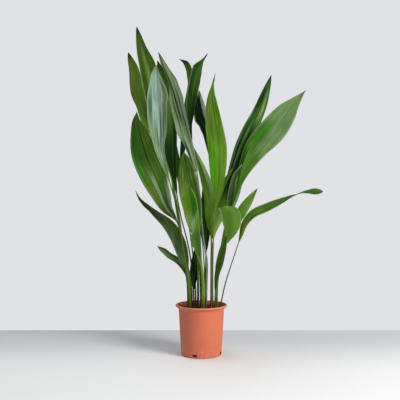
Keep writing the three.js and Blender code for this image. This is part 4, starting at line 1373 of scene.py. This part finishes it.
def floor_paint():
    """A plain pale floor with painted shade, darker towards its back edge behind the pot."""
    paint = Paint("floor_skin")
    depth = paint.part_of(paint.place(), "Y")
    # Painted shade: the floor darkens towards its back edge.
    paint.set("Base Color", paint.blend(depth.step(*FLOOR_PAINTED_SHADE), linear(0xf0f1f1), linear(0xccd0d1)))
    paint.set("Roughness", 0.7)
    return paint.material


class PLANT_OT_make_stage(bpy.types.Operator):
    """Lay the floor and set up the lights and the camera"""

    bl_idname = "plant.make_stage"
    bl_label = "Stage"

    def execute(self, context):
        scene = context.scene
        settings = scene.plant_stage
        start_clean()
        bpy.ops.mesh.primitive_plane_add(size=1, location=(0, 0, 0))
        floor = bpy.context.active_object
        floor.name = "floor"
        for corner in floor.data.vertices:
            corner.co.x *= FLOOR_WIDTH
            corner.co.y = settings.floor_reach if corner.co.y > 0 else -FLOOR_FRONT
            corner.co.z = -FLOOR_DROP
        floor.data.materials.append(floor_paint())
        area_light("key_light", **KEY_LIGHT)
        area_light("sky_light", **SKY_LIGHT)
        scene.world = pale_room()
        scene.view_settings.view_transform = "Standard"
        data = bpy.data.cameras.new("camera")
        data.lens = settings.lens
        data.sensor_width = SENSOR_WIDTH
        camera = bpy.data.objects.new("camera", data)
        scene.collection.objects.link(camera)
        camera.location = (settings.aside, -settings.distance, settings.eye)
        camera.rotation_euler = (math.pi / 2, 0, 0)
        scene.camera = camera
        return {"FINISHED"}


# ---------------------------------------------------------------- panel and registration


class PLANT_PT_plant(bpy.types.Panel):
    """Lists the steps that make the plant"""

    bl_idname = "PLANT_PT_plant"
    bl_label = "Cast iron plant"
    bl_space_type = "VIEW_3D"
    bl_region_type = "UI"
    bl_category = "Plant"

    def draw(self, context):
        for title, group in SETTINGS.items():
            box = self.layout.box()
            box.label(text=title.removeprefix("plant_").title())
            for name in group.__annotations__:
                box.prop(getattr(context.scene, title), name)
        for operator in OPERATORS:
            self.layout.operator(operator.bl_idname)


SETTINGS = {
    "plant_pot": PotSettings,
    "plant_soil": SoilSettings,
    "plant_leaf": LeafSettings,
    "plant_stage": StageSettings,
}
OPERATORS = (
    PLANT_OT_make_stage,
    PLANT_OT_make_pot,
    PLANT_OT_make_soil,
    PLANT_OT_make_soil_bits,
    PLANT_OT_make_left_leaves,
    PLANT_OT_make_middle_leaves,
    PLANT_OT_make_right_leaves,
    PLANT_OT_make_front_leaves,
    PLANT_OT_make_back_leaves,
)
CLASSES = (*SETTINGS.values(), *OPERATORS, PLANT_PT_plant)


def register():
    for item in CLASSES:
        bpy.utils.register_class(item)
    for name, group in SETTINGS.items():
        setattr(bpy.types.Scene, name, PointerProperty(type=group))


def unregister():
    for name in SETTINGS:
        delattr(bpy.types.Scene, name)
    for item in reversed(CLASSES):
        bpy.utils.unregister_class(item)


def main():
    register()
    for operator in OPERATORS:
        group, name = operator.bl_idname.split(".")
        getattr(getattr(bpy.ops, group), name)()


if __name__ == "__main__":
    main()
